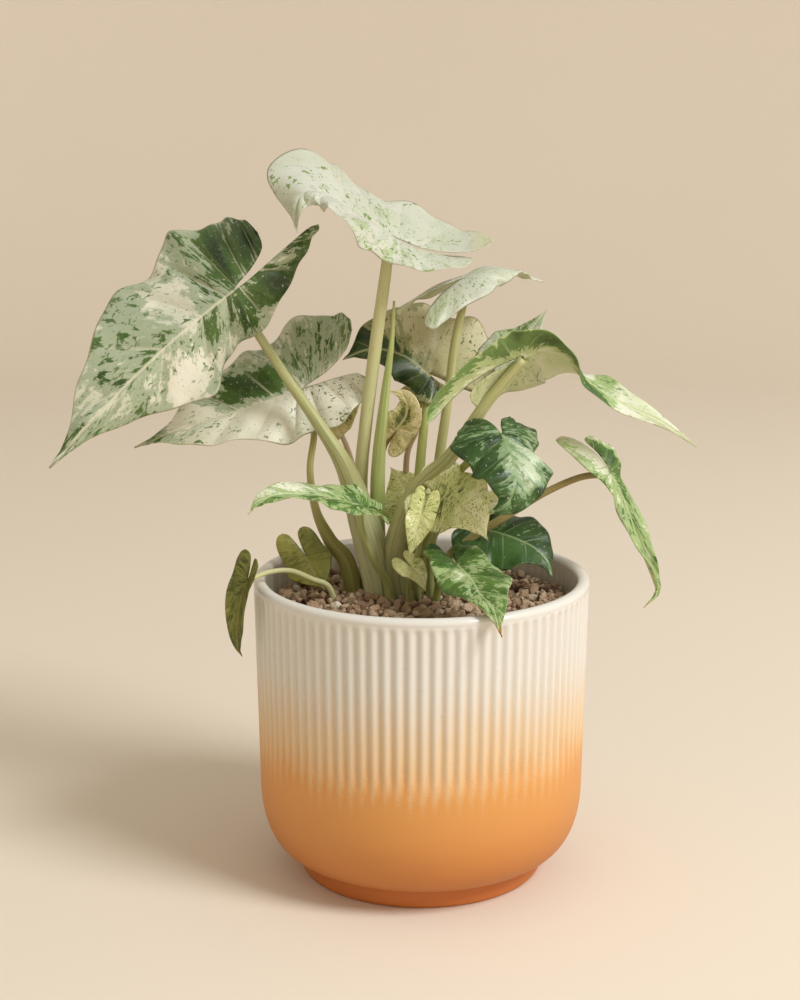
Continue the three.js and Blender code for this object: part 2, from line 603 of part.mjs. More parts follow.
// A blade's middle surface as corners, normals and triangles, and how far its ridge stands down.
function bladeSkin(plan) {
  const heart = HEART_KNOT / (MARGIN.length - 1);
  const [lobeRows, bladeRows] = plan.rows;
  const rounds = [];
  for (let k = 0; k < lobeRows; k++) rounds.push(heart * k / lobeRows);
  for (let k = 0; k <= bladeRows; k++) rounds.push(heart + (1 - heart) * k / bladeRows);
  const corners = [];
  const ridge = [];
  const grid = [0, 1].map((half) => rounds.map((round, row) =>
    Array.from({ length: plan.cols + 1 }, (_, col) => {
      const shared = half === 1 && col === 0 && row >= lobeRows;
      if (shared || (half === 1 && row === rounds.length - 1)) return -1;
      if (col > 0 && (row === 0 || row === rounds.length - 1)) return -2;
      const share = Math.max((round - heart) / (1 - heart), 0);
      const ridged = col === 0 && row >= lobeRows;
      ridge.push(ridged ? MIDRIB_DEPTH * Math.min(RIDGE_RISE * share, 1 - share) : 0);
      return corners.push(bladePoint(plan, half, round, (col / plan.cols) ** COLUMN_POWER)) - 1;
    })));
  grid.forEach((rows, half) => rows.forEach((row, r) => row.forEach((value, c) => {
    if (value === -1) row[c] = grid[0][r][0];
    if (value === -2) row[c] = half === 1 && r > 0 ? grid[0][r][0] : row[0];
  })));
  const triangles = [];
  grid.forEach((rows, half) => {
    for (let r = 0; r + 1 < rows.length; r++) {
      for (let c = 0; c < plan.cols; c++) {
        const quad = [rows[r][c], rows[r][c + 1], rows[r + 1][c + 1], rows[r + 1][c]];
        const [a, b, d, e] = half === 0 ? quad : [quad[3], quad[2], quad[1], quad[0]];
        for (const three of [[a, b, d], [a, d, e]]) {
          if (new Set(three).size === 3) triangles.push(three);
        }
      }
    }
  });
  const open = geometryOf(corners, triangles);
  open.computeVertexNormals();
  const normals = corners.map((_, k) => new THREE.Vector3().fromBufferAttribute(open.attributes.normal, k));
  return { corners, normals, ridge, triangles };
}

const upperCorner = (skin, k, half) => skin.corners[k].clone().addScaledVector(skin.normals[k], half);
const lowerCorner = (skin, k, half) => upperCorner(skin, k, -half - skin.ridge[k]);

// A blade as a thin solid: the same triangles on both faces, and a band round the edge.
function bladeGeometry(skin) {
  const { corners, triangles } = skin;
  const upper = corners.map((_, k) => upperCorner(skin, k, BLADE_HALF));
  const lower = corners.map((_, k) => lowerCorner(skin, k, BLADE_HALF));
  const count = corners.length;
  const all = [...triangles, ...triangles.map(([a, b, c]) => [a + count, c + count, b + count])];
  const edges = new Set(triangles.flatMap(([a, b, c]) => [[a, b], [b, c], [c, a]]).map(String));
  for (const name of edges) {
    const [a, b] = name.split(",").map(Number);
    if (edges.has(`${b},${a}`)) continue;
    all.push([b, a, a + count], [b, a + count, b + count]);
  }
  return geometryOf([...upper, ...lower], all);
}

addPiece("pot", potGeometry(), "glaze");

// The blades' neighbourhood, one small block a triangle, wider than the blade by the gap. The test
// takes a triangle's middle and size.
function blocksWhere(skins, test) {
  const half = BLADE_HALF + GAP;
  return skins.flatMap((skin) => skin.triangles
    .filter((three) => {
      const middle = three.reduce((sum, k) => sum.add(skin.corners[k]), point(0, 0, 0)).divideScalar(3);
      const size = Math.max(...three.map((k) => middle.distanceTo(skin.corners[k])));
      return test(middle, size);
    })
    .map((three) => wasm.Manifold.hull(three.flatMap((k) => [
      upperCorner(skin, k, half).toArray(),
      lowerCorner(skin, k, half).toArray(),
    ]))));
}

const touches = (a, b) => {
  const [one, two] = [a.boundingBox(), b.boundingBox()];
  return [0, 1, 2].every((axis) => one.min[axis] < two.max[axis] && two.min[axis] < one.max[axis]);
};
const clearOf = (solid, others) =>
  others.filter((other) => touches(solid, other)).reduce((rest, other) => rest.subtract(other), solid);

// Blades first, then stalks, each cut clear of the blades and of the stalks before it.
const blades = Object.entries(LEAVES).map(([name, leaf]) => {
  const plan = bladePlan(leaf);
  return { name, finish: leaf.skin, skin: bladeSkin(plan) };
});
const skins = blades.map(({ skin }) => skin);
const stalks = Object.entries(LEAVES).map(([name, leaf]) =>
  ({ name: `stalk_${name}`, points: [...leaf.stalk, leaf.rib[0]], thick: leaf.thick, finish: "stalk" }));
stalks.push({ name: "spear_new_leaf", points: SPEAR.path, thick: SPEAR.thick, finish: "spear" });
const holes = [];
for (const { name, points, thick, finish } of stalks) {
  const widest = Math.max(...thick);
  const sides = widest > THICK_STALK ? THICK_SIDES : THIN_SIDES;
  const steps = Math.max(STALK_STEPS, Math.round(STALK_STEPS_A_POINT * points.length));
  const shape = (extra) => solidOf(stalkGeometry(points, thick, sides, steps, extra));
  const path = Array.from({ length: PATH_STEPS + 1 }, (_, k) => vector(along(points, k / PATH_STEPS)));
  const besidePath = (middle, size) => path.some((place) => place.distanceTo(middle) < size + widest);
  const cutters = [...blocksWhere(skins, besidePath), ...holes];
  addPiece(name, geometryOfSolid(clearOf(shape(0), cutters)), finish);
  holes.push(shape(GAP));
}
for (const { name, finish, skin } of blades) addPiece(`leaf_${name}`, bladeGeometry(skin), finish);

// Potting soil that fills the pot up to the gravel, with plain holes for the stalks.
function soilGeometry() {
  const inner = RIM_RADIUS - WALL - GAP;
  const floor = FLOOR_THICKNESS + GAP;
  const profile = [
    [0, floor], [FOOT_RADIUS - BOWL_INSIDE_STEP - GAP, floor],
    [inner - BOWL_INSIDE_STEP - GAP, floor + BOWL_INSIDE_RISE + GAP],
    [inner, BOWL_TOP], [inner, GRAVEL_BOTTOM - GAP], [0, GRAVEL_BOTTOM - GAP],
  ].map(([r, z]) => new THREE.Vector2(r, z));
  return new THREE.LatheGeometry(profile, RIB_COUNT / 4).rotateX(Math.PI / 2);
}

// A few-sided pumice stone.
function stone(x, y, z, size) {
  const lump = new THREE.OctahedronGeometry(size, 0);
  lump.scale(1, 0.75 + 0.4 * draw(), 0.5 + 0.3 * draw());
  lump.rotateX(0.5 + 0.6 * draw());
  lump.rotateZ(6 * draw());
  lump.translate(x, y, z);
  return solidOf(lump);
}

// A bed of gravel: a disc with rings of stones sunk into it.
function gravelSolid() {
  const reach = RIM_RADIUS - WALL - GAP;
  const disc = new THREE.CylinderGeometry(reach, reach, GRAVEL_TOP - GRAVEL_BOTTOM, RIB_COUNT / 2);
  disc.rotateX(Math.PI / 2);
  disc.translate(0, 0, (GRAVEL_TOP + GRAVEL_BOTTOM) / 2);
  const parts = [solidOf(disc)];
  for (let ring = 0; ring < STONE_RINGS; ring++) {
    const radius = (reach - STONE_SIZE - 0.4) * (ring + 0.3) / (STONE_RINGS - 0.7);
    const count = Math.max(1, Math.round(Math.PI * radius / STONE_SIZE));
    for (let k = 0; k < count; k++) {
      const angle = 2 * Math.PI * (k + 0.6 * draw()) / count + ring;
      parts.push(stone(radius * Math.cos(angle), radius * Math.sin(angle),
        GRAVEL_TOP + STONE_SPREAD * (draw() - 0.5), STONE_SIZE * (0.75 + 0.25 * draw())));
    }
  }
  return wasm.Manifold.union(parts).trimByPlane([0, 0, 1], GRAVEL_BOTTOM);
}

addPiece("soil", geometryOfSolid(clearOf(solidOf(soilGeometry()), holes)), "soil");
const besideGravel = (middle, size) => middle.z - size < GRAVEL_TOP + STONE_SIZE;
const dents = [...holes, ...blocksWhere(skins, besideGravel)];
addPiece("gravel", geometryOfSolid(clearOf(gravelSolid(), dents)), "pumice");

export default plant;
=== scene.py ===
"""A potted splash giant taro: a ribbed ombre pot, pumice gravel, sheathing stalks, marbled blades."""
import math
import random

import bmesh
import bpy
from mathutils import Matrix, Vector, noise


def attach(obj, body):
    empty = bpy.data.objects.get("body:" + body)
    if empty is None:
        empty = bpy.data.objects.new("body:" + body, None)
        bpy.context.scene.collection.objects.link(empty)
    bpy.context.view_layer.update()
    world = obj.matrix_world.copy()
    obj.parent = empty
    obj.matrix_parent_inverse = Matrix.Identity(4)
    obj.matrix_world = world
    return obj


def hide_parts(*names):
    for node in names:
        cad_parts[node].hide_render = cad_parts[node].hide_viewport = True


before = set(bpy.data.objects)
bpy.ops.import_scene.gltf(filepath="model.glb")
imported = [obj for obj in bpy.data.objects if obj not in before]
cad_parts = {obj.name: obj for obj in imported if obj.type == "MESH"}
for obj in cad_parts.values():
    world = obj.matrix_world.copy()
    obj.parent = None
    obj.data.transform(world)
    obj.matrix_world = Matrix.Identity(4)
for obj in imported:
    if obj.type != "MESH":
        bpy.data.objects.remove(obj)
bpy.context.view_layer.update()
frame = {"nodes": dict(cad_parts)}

MM = 0.001

# The pot, in millimetres, with the roundness of its bowl and the count of its ribs.
RIM_RADIUS = 80
POT_HEIGHT = 145.8
WALL = 6
FLOOR_THICKNESS = 12
BOWL_TOP_RADIUS = 78
BOWL_TOP = 45
FOOT_RADIUS = 58.5
FOOT_HEIGHT = 10
BOWL_EXPONENT = 2.23
RIB_COUNT = 88
RIB_DEPTH = 1.15
RIB_BOTTOM = 60
RIB_TOP = 142.3
LIP_HEIGHT = 2.8
FOOT_FLAT = 30

# The foot's outline as steps out from its radius and heights, and the heights of the wall's rows,
# which are close together where the ribs begin and end.
FOOT_PROFILE = [(-2, 0), (-0.9, 0.25), (-0.2, 1.1), (0, 2.4), (0, 5), (-0.1, 8), (0.1, 9.6)]
WALL_ROWS = [
    49, 53, 57, 59, 61, 63, 65, 68, 72, 78, 86, 96, 106, 116, 126, 133, 136, 138, 139.5, 140.5, 141.5,
]

# What fills the pot, in millimetres, with the count, the crowding and the cuts of the stones.
GRAVEL_TOP = 131
STONE_COUNT = 1150
STONE_SMALL = 2.4
STONE_SPREAD = 3.8
STONE_CROWDING = 0.43
STONE_CUTS = 7
LAYER_RISE = 2.5
BED_DROP = 3.4

# The blades: half their thickness and the midrib's depth in millimetres.
BLADE_HALF = 0.3
MIDRIB_DEPTH = 1.2

# Counts and shares of the blades' form. The half phase and shift keep the two halves from matching.
EDGE_TAPER = 0.05
VEIN_COUNT = 9
SCALLOP = 0.02
FRAME_STEPS = 96
HEART_KNOT = 4
COLUMN_POWER = 0.85
HALF_PHASE = 1.3
HALF_SHIFT = 20
RIPPLE = 0.26
RIPPLE_COUNT = 3.4
SCORCH_START = 0.84

# The stalks: the side that faces forward, the clump's middle, and the sides and steps of a mesh.
STALK_FRONT = (0.3, -1, 0.2)
CLUMP = (-18, 26)
STALK_MESH = (48, 64)
SPEAR_MESH = (72, 96)

# The leaves, in millimetres and degrees. A pair holds the right half, then the left half. The stalk and
# the rib are places up the stalk and down the midrib, and thick is the stalk's radius on its way up. The
# blade looks along face. A half is wide across, reaches back behind the heart, is folded up by fold at the
# heart and fore at the tip, curls on to the margin, and has a lobe that is lifted. Turn twists the tip,
# belly widens the blade past the heart, wave is a height, a count and a start, gap opens the notch, and
# lobe widens the lobe. What most leaves share comes first, and a leaf names only what is its own.
COMMON_LEAF = {
    "face": (0, -0.9, 0.4), "fold": (10, 10), "fore": (5, 5), "curl": (-20, -20), "lift": (0, 0),
    "turn": 0, "belly": (0, 0), "wave": (1, 2, 0.4), "gap": 1, "lobe": (1, 1),
}
LEAVES = {
    "big_left": {
        "slot": "marbled", "thick": [6.5, 7.5, 7, 4.6, 3.1, 2.4, 2.1, 1.9],
        "stalk": [
            (-19, 16, 121), (-23, 15, 148), (-28, 13, 168), (-36, 11, 194), (-47, 12, 213),
            (-65, 20, 238), (-78, 26, 257),
        ],
        "rib": [(-88, 4, 280), (-113, -3, 260), (-140, -12, 235), (-171, -24, 202)],
        "face": (-0.35, -0.8, 0.5), "wide": (51, 28), "back": (28, 52), "fold": (-8, -58),
        "fore": (12, -42), "curl": (-10, -30), "lift": (-5, 15), "belly": (0.08, 0.5),
        "wave": (4.8, 3, 0.3), "lobe": (1, 0.5),
    },
    "second_left": {
        "slot": "marbled", "thick": [4, 4.5, 3.6, 2.2, 1.7, 1.6, 1.5],
        "stalk": [
            (-31, 21, 121), (-36, 23, 145), (-44, 24, 156), (-51, 26, 170), (-54, 28, 190),
            (-52, 31, 210),
        ],
        "rib": [(-57, 34, 230), (-81, 33, 221), (-110, 31, 212), (-139, 29, 201)],
        "face": (-0.1, -0.55, 0.83), "wide": (33, 25), "back": (30, 31), "fold": (25, -10),
        "fore": (12.5, -5), "curl": (-10, -20), "lift": (30, 10), "wave": (3.8, 3, 1.3),
    },
    "top": {
        "slot": "pale", "thick": [4, 3.6, 3.3, 3.1, 3, 2.7, 2.3],
        "stalk": [
            (-25, 26, 121), (-27, 25, 156), (-29, 24, 186), (-27, 22, 211), (-22, 18, 251),
            (-17, 14, 287),
        ],
        "rib": [(-14, 12, 305), (-32, 5, 317), (-48, 0, 326), (-56, -5, 323), (-57, -7, 308)],
        "face": (0.4, -0.25, 0.88), "wide": (34, 21), "back": (48, 40), "fold": (12, 5), "fore": (2, 5),
        "curl": (-10, -25), "lift": (56, 34), "belly": (0.6, 0.25), "wave": (4.4, 3, 1.4), "gap": 0.1,
    },
    "second_top": {
        "slot": "pale", "thick": [3.2, 2.8, 2.5, 2.2, 2, 1.9, 1.8],
        "stalk": [(0, 29, 121), (5, 30, 155), (9, 31, 195), (13, 32, 224), (16, 32, 251), (20, 32, 270)],
        "rib": [(22, 32, 284), (34, 42, 287), (47, 52, 284), (61, 62, 278)],
        "face": (0.1, -0.1, 0.95), "wide": (14, 16), "back": (36, 36), "fold": (10, -5),
        "fore": (5, -2.5), "curl": (-60, -60), "lift": (-40, -15), "wave": (3, 3, 0.5),
        "lobe": (1.2, 1.2),
    },
    "centre_dark": {
        "slot": "dark", "thick": [3, 2.8, 2.5, 2.2, 2, 1.8],
        "stalk": [(-4, 25, 121), (-3, 26, 153), (-1, 28, 185), (1, 32, 207), (3, 36, 223)],
        "rib": [(4, 38, 236), (-9, 38, 245), (-24, 38, 248), (-38, 37, 243)],
        "face": (0.1, -0.6, 0.8), "wide": (33, 13), "back": (33, 14), "fold": (35, -15),
        "fore": (17.5, -7.5), "curl": (-20, -40), "lift": (5, 12), "wave": (3.4, 3, 0.9),
    },
    "right_arch": {
        "slot": "green", "thick": [4.6, 4.8, 4.4, 4, 3.4, 2.8, 2.3],
        "stalk": [
            (-9, 15, 121), (-13, 12, 149), (-10, 10, 167), (-1, 8, 187), (14, 6, 202), (30, 3, 227),
        ],
        "rib": [
            (47, 0, 250), (56, 0, 253), (68, 0, 248), (78, -2, 238), (93, -5, 229), (111, -8, 221),
            (128, -10, 209),
        ],
        "face": (-0.2, 0.78, 0.5), "turn": 120, "wide": (15, 19), "back": (58, 30), "fold": (0, 5),
        "fore": (0, 5), "curl": (-10, -20), "lift": (-56, -20), "belly": (-0.1, -0.05),
        "wave": (2.8, 3, 0.2),
    },
    "dark_droop": {
        "slot": "dark", "thick": [2.6, 2.4, 2.2, 2, 1.9, 1.8, 1.6],
        "stalk": [(-1, 20, 121), (2, 20, 150), (6, 19, 167), (9, 17, 179), (17, 11, 192), (27, 1, 204)],
        "rib": [(37, -14, 216), (41, -27, 208), (42, -37, 198), (38, -41, 189), (30, -41, 185)],
        "face": (0.1, -0.5, 0.86), "wide": (22, 22), "back": (15, 15), "fold": (-8, -10),
        "fore": (-8, -10), "curl": (-32, -38), "lift": (-6, -12), "wave": (3.4, 3, 1),
    },
    "far_right": {
        "slot": "green", "thick": [2.4, 2.2, 2, 1.8, 1.7, 1.6, 1.5],
        "stalk": [
            (10, 22, 121), (12, 19, 147), (26, 14, 161), (38, 9, 170), (47, 8, 176), (60, 8, 184),
            (76, 8, 191),
        ],
        "rib": [
            (90, 6, 193), (96, 5, 181), (103, 2, 162), (110, -1, 145), (112, -3, 137), (106, -5, 130),
        ],
        "face": (0.62, -0.6, 0.5), "wide": (7.5, 7), "back": (29, 22), "fold": (12, 22), "fore": (60, 60),
        "curl": (-30, -30), "lift": (-50, -50), "wave": (2.2, 3, 0.6), "lobe": (1.9, 1.7),
    },
    "front_left": {
        "slot": "green", "thick": [2.4, 2, 1.8, 1.6, 1.5],
        "stalk": [(-15, 6, 121), (-16, 4, 139), (-23, -2, 153), (-28, -11, 169)],
        "rib": [(-29, -14, 182), (-45, -22, 188), (-60, -30, 191), (-73, -36, 190), (-79, -40, 184)],
        "face": (0, -0.35, 0.93), "wide": (12, 11.5), "back": (15, 15), "fold": (20, 20),
        "fore": (10, 10), "lift": (-15, -20), "wave": (2, 3, 0.4),
    },
    "left_small": {
        "slot": "olive", "thick": [1.6, 1.4, 1.2],
        "stalk": [(-44, 27, 121), (-53, 25, 137)],
        "rib": [(-56, 17, 150), (-51, 14, 142), (-46, 11, 134)],
        "wide": (11, 10), "back": (15, 13), "fold": (15, 15), "fore": (7.5, 7.5), "belly": (0.3, 0.3),
        "wave": (0.8, 2, 0.4),
    },
    "far_left_small": {
        "slot": "olive", "thick": [1.5, 1.4, 1.3, 1.2, 1.2, 1.1],
        "stalk": [(-40, 8, 121), (-44, 2, 138), (-52, -4, 144), (-62, -11, 150), (-72, -18, 151)],
        "rib": [(-81, -24, 149), (-84, -25, 140), (-86, -25, 127), (-86, -26, 118), (-84, -28, 113)],
        "face": (-0.6, -0.75, 0.2), "wide": (8, 8), "back": (13, 11), "fold": (35, 35),
        "fore": (17.5, 17.5), "curl": (-10, -10), "lift": (10, 10), "wave": (0.8, 2, 0.4),
    },
    "front_right": {
        "slot": "green", "thick": [2, 1.8, 1.6, 1.5],
        "stalk": [(6, 2, 121), (8, -4, 140), (11, -14, 150)],
        "rib": [(16, -25, 157), (22, -42, 154), (26, -59, 151), (31, -75, 149), (34, -87, 140)],
        "face": (0.1, -0.55, 0.83), "wide": (13, 13.5), "back": (17, 16), "fold": (22, 18),
        "fore": (11, 9), "lift": (10, 0), "belly": (0.5, 0.5), "wave": (1.8, 3, 0.4),
    },
    "dark_low": {
        "slot": "dark", "thick": [2, 1.8, 1.6, 1.5],
        "stalk": [(14, 30, 121), (20, 28, 144), (26, 25, 153)],
        "rib": [(32, 21, 162), (42, 17, 160), (53, 13, 156), (60, 10, 150), (63, 7, 142)],
        "face": (0, -0.5, 0.86), "wide": (18, 15), "back": (14, 14), "belly": (0.4, 0.35),
        "wave": (2, 3, 0.4),
    },
    "cream_point": {
        "slot": "pale", "thick": [2, 1.8, 1.6, 1.5],
        "stalk": [(6, 11, 121), (4, 7, 150), (7, 3, 167)],
        "rib": [(10, -1, 183), (18, -4, 180), (25, -8, 174), (31, -12, 165)],
        "face": (0, -0.8, 0.6), "wide": (17, 17), "back": (15, 15), "fold": (10, 15), "fore": (5, 7.5),
        "belly": (0.2, 0.2), "wave": (2.6, 3, 0.4),
    },
    "cream_right": {
        "slot": "pale", "thick": [1.8, 1.6, 1.4, 1.3],
        "stalk": [(12, 38, 121), (22, 43, 146), (31, 42, 164)],
        "rib": [(35, 29, 174), (43, 23, 176), (51, 16, 175)],
        "face": (0, -0.7, 0.7), "wide": (8, 8), "back": (8, 8),
    },
    "marbled_low": {
        "slot": "marbled", "thick": [1.8, 1.6, 1.4, 1.3],
        "stalk": [(0, 14, 121), (-3, 1, 145), (-1, -8, 162)],
        "rib": [(0, -15, 179), (-3, -17, 169), (-6, -18, 158)],
        "face": (0, -0.95, 0.3), "wide": (7, 7), "back": (12, 12), "fold": (20, 20), "fore": (10, 10),
    },
    "cream_low": {
        "slot": "pale", "thick": [1.8, 1.5, 1.3],
        "stalk": [(-3, 3, 121), (-6, -2, 137)],
        "rib": [(-5, -8, 151), (-1, -13, 148), (2, -16, 141)],
        "face": (0, -0.8, 0.6), "wide": (7, 6), "back": (9, 9), "fold": (20, 20), "fore": (10, 10),
    },
    "olive_back": {
        "slot": "olive", "thick": [2, 1.8, 1.6, 1.4],
        "stalk": [(-9, 34, 121), (-9, 36, 146), (-6, 38, 163)],
        "rib": [(-5, 38, 173), (-9, 42, 180), (-15, 46, 188)],
        "wide": (14, 15), "back": (12, 12), "wave": (1.6, 2, 0.4),
    },
    "tan_mid": {
        "slot": "tan", "thick": [2, 1.8, 1.5, 1.3, 1.2],
        "stalk": [(-17, 34, 121), (-19, 34, 154), (-20, 34, 184), (-18, 34, 200)],
        "rib": [(-12, 28, 210), (-7, 28, 218), (-8, 29, 226), (-16, 30, 229)],
        "wide": (9, 8), "back": (12, 9),
    },
    "tan_left": {
        "slot": "tan", "thick": [2, 1.8, 1.4, 1.2],
        "stalk": [(-27, 35, 121), (-27, 35, 153), (-34, 35, 193)],
        "rib": [(-42, 35, 213), (-35, 34, 220), (-28, 33, 227)],
        "wide": (8, 9), "back": (9, 8),
    },
    "tan_under": {
        "slot": "tan", "thick": [2, 1.8, 1.5, 1.3, 1.2],
        "stalk": [(-1, 38, 121), (-6, 42, 149), (-7, 46, 191), (-2, 47, 207)],
        "rib": [(-1, 47, 225), (7, 52, 228), (16, 56, 225)],
        "face": (0, -0.6, 0.8), "wide": (9, 8), "back": (9, 9),
    },
    "back_pale": {
        "slot": "pale", "thick": [2.2, 2, 1.8, 1.6, 1.5],
        "stalk": [(9, 44, 121), (4, 44, 156), (17, 44, 195), (34, 42, 225)],
        "rib": [(42, 42, 246), (51, 46, 253), (62, 50, 266)],
        "face": (-0.3, -0.7, 0.6), "wide": (12, 12), "back": (12, 12), "fold": (20, 20), "fore": (10, 10),
    },
}
SPEAR = {
    "path": [
        (-21, 22, 121), (-21, 21, 147), (-21, 19, 177), (-20, 19, 202),
        (-17, 18, 231), (-14, 17, 255), (-13, 17, 274),
    ],
    "thick": [3, 3.4, 3.5, 3, 2.1, 1.2, 0.5],
}


def add_object(name, data):
    made = bpy.data.objects.new(name, data)
    bpy.context.scene.collection.objects.link(made)
    return made


# Camera, fitted to the photograph: the lens stands in front of the pot and looks a little down.
CAMERA_PLACE = (-10.2, -886, 382)
CAMERA_PITCH = 12.742
CAMERA_LENS = 69.09
lens = bpy.data.cameras.new("camera")
lens.lens = CAMERA_LENS
lens.sensor_width = 36
lens.clip_end = 20
camera = add_object("camera", lens)
camera.location = Vector(CAMERA_PLACE) * MM
camera.rotation_euler = (math.radians(90 - CAMERA_PITCH), 0, 0)
bpy.context.scene.camera = camera


def along(points, at):
    """A smooth curve through points, at 0 to 1, as one cubic between two neighbours."""
    last = len(points) - 1
    place = min(max(at, 0), 1) * last
    i = min(int(place), last - 1)
    t = place - i
    b, c = points[i], points[i + 1]
    a = points[i - 1] if i > 0 else 2 * b - c
    d = points[i + 2] if i + 2 <= last else 2 * c - b
    slope = (c - a) / 2
    next_slope = (d - b) / 2
    rise = c - b
    bend = 3 * rise - 2 * slope - next_slope
    ease = slope + next_slope - 2 * rise
    return b + slope * t + bend * t * t + ease * t ** 3


def smoothstep(value, low, high):
    t = min(max((value - low) / (high - low), 0), 1)
    return t * t * (3 - 2 * t)


def lerp(a, b, share):
    return a + (b - a) * share


def frames_down(points, up_hint, steps):
    """Frames down a curve: a place, a forward, an upward and a sideways direction at each step."""
    places = [along(points, k / steps) for k in range(steps + 1)]
    frames = []
    up = Vector(up_hint)
    for k, place in enumerate(places):
        forward = (places[min(k + 1, steps)] - places[max(k - 1, 0)]).normalized()
        up = (up - forward * up.dot(forward)).normalized()
        frames.append((place, forward, up, forward.cross(up)))
    return frames


def mesh_object(bm, name, finishes):
    """Turns a bmesh in millimetres into a smooth object with its finishes."""
    bmesh.ops.scale(bm, vec=(MM, MM, MM), verts=bm.verts[:])
    for face in bm.faces:
        face.smooth = True
    mesh = bpy.data.meshes.new(name)
    bm.to_mesh(mesh)
    bm.free()
    for finish in finishes:
        mesh.materials.append(finish)
    return add_object(name, mesh)


def new_piece(bm, name, node, finishes):
    """A finished object that stands for a CAD node."""
    piece = mesh_object(bm, name, finishes)
    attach(piece, "root")
    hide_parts(node)
    return piece


def grid_faces(bm, columns, rows):
    """A grid of faces whose corners are returned with their shares across and down."""
    made = bmesh.ops.create_grid(bm, x_segments=columns, y_segments=rows, size=0.5)["verts"]
    return [(corner, corner.co.x + 0.5, corner.co.y + 0.5) for corner in made]


# The outline of half a blade, from the end of its back lobe round to the tip. A pair is the way along
# the midrib and the way out. Behind the heart the first is a share of the lobe's length, before it of
# the midrib's; the second is a share of the half's width.
MARGIN = [
    (-1, 0.4), (-0.99, 0.64), (-0.8, 0.88), (-0.38, 1), (0.07, 1),
    (0.27, 0.93), (0.5, 0.68), (0.72, 0.36), (0.89, 0.1), (1, 0),
]
INNER = [
    (-1, 0.4), (-0.86, 0.2), (-0.5, 0.08), (-0.16, 0.03), (0, 0),
    (0.1, 0), (0.3, 0), (0.54, 0), (0.79, 0), (1, 0),
]
HEART = HEART_KNOT / (len(MARGIN) - 1)


class Blade:
    """The surface of one blade, from a few sizes and angles."""

    def __init__(self, leaf):
        self.leaf = leaf
        self.frames = frames_down([Vector(p) for p in leaf["rib"]], leaf["face"], FRAME_STEPS)
        places = [frame[0] for frame in self.frames]
        self.length = sum((b - a).length for a, b in zip(places, places[1:]))

    def frame_at(self, share):
        place = min(max(share, 0), 1) * FRAME_STEPS
        k = min(int(place), FRAME_STEPS - 1)
        return [a.lerp(b, place - k) for a, b in zip(self.frames[k], self.frames[k + 1])]

    def outline(self, pairs, half, around):
        """A place of the outline, flat: how far down and across, with the lobe's own gap and width."""
        leaf = self.leaf
        scaled = []
        for down, across in pairs:
            back = max(-down, 0)
            shut = (1 - leaf["gap"]) * INNER[0][1] * back ** 2
            slim = lerp(1, leaf["lobe"][half], min(2 * back, 1))
            long = leaf["back"][half] if down < 0 else self.length
            scaled.append(Vector((down * long, (across - shut) * slim * leaf["wide"][half])))
        return along(scaled, around)

    def spot(self, half, around, out):
        """A place of the middle surface, its upward direction, and how far down and across it lies."""
        leaf = self.leaf
        hand = 1 if half == 0 else -1
        swell, count, phase = leaf["wave"]
        edge = self.outline(MARGIN, half, around)
        scallop = SCALLOP * swell * math.sin(2 * math.pi * (count + 2) * around + 2 * phase + half)
        edge.y *= 1 + scallop * math.sin(math.pi * around)
        root = self.outline(INNER, half, around)
        down = lerp(root.x, edge.x, out)
        share = down / self.length
        belly = 1 + leaf["belly"][half] * math.sin(math.pi * max(share, 0))
        across = lerp(root.y, edge.y, out) * belly
        place, forward, up, side = self.frame_at(share)
        if down < 0:
            bend = math.radians(leaf["lift"][half]) * (-down / leaf["back"][half])
            place = place + forward * down * math.cos(bend / 2) - up * down * math.sin(bend / 2)
            up = Matrix.Rotation(bend, 3, side) @ up
        turned = math.radians(leaf["turn"]) * smoothstep(share, 0.2, 0.75)
        twist = Matrix.Rotation(turned, 3, forward)
        up = twist @ up
        side = twist @ side
        reach = across / leaf["wide"][half]
        fold = math.radians(lerp(leaf["fold"][half], leaf["fore"][half], max(share, 0)))
        curl = math.radians(leaf["curl"][half])
        middle = fold + curl * reach / 2
        outer = fold + curl * reach
        bulge = 2 * abs(math.cos(math.pi * around * VEIN_COUNT)) ** 0.7 - 1
        relief = leaf["pucker"] * bulge * 4 * out * (1 - out)
        quick = 2 * math.pi * RIPPLE_COUNT * count * around + 2 * phase
        ripple = RIPPLE * swell * out ** 3 * math.sin(quick)
        wave = swell * out * out * math.sin(2 * math.pi * count * around + phase + HALF_PHASE * half)
        wave = (wave + ripple) * math.sin(math.pi * around) + relief
        level = up * math.cos(outer) - side * hand * math.sin(outer)
        place = place + side * hand * across * math.cos(middle) + up * across * math.sin(middle)
        place = place + level * wave
        near = outer * smoothstep(across, 0, 3)
        return place, up * math.cos(near) - side * hand * math.sin(near), down, across * hand

    def thickness(self, around, out, down, across, under):
        """Half the blade's thickness there, with the ribs that stand down from the underside."""
        taper = min((1 - out) / EDGE_TAPER, 1)
        if around < HEART:
            taper = min(taper, out / EDGE_TAPER)
        half = BLADE_HALF * math.sqrt(max(taper, 0))
        if not under:
            return half - 0.2 * math.exp(-(across / 0.7) ** 2) * (around > HEART)
        share = max(down / self.length, 0)
        strength = 1 if down >= 0 else max(1 + down / 25, 0)
        width = lerp(1.5, 0.5, share)
        ridge = MIDRIB_DEPTH * strength * (1 - share) * math.exp(-(across / width) ** 2)
        vein = abs(math.sin(math.pi * around * VEIN_COUNT)) ** 12
        return half + (ridge + 0.16 * vein * (1 - out)) * min(taper, 1)


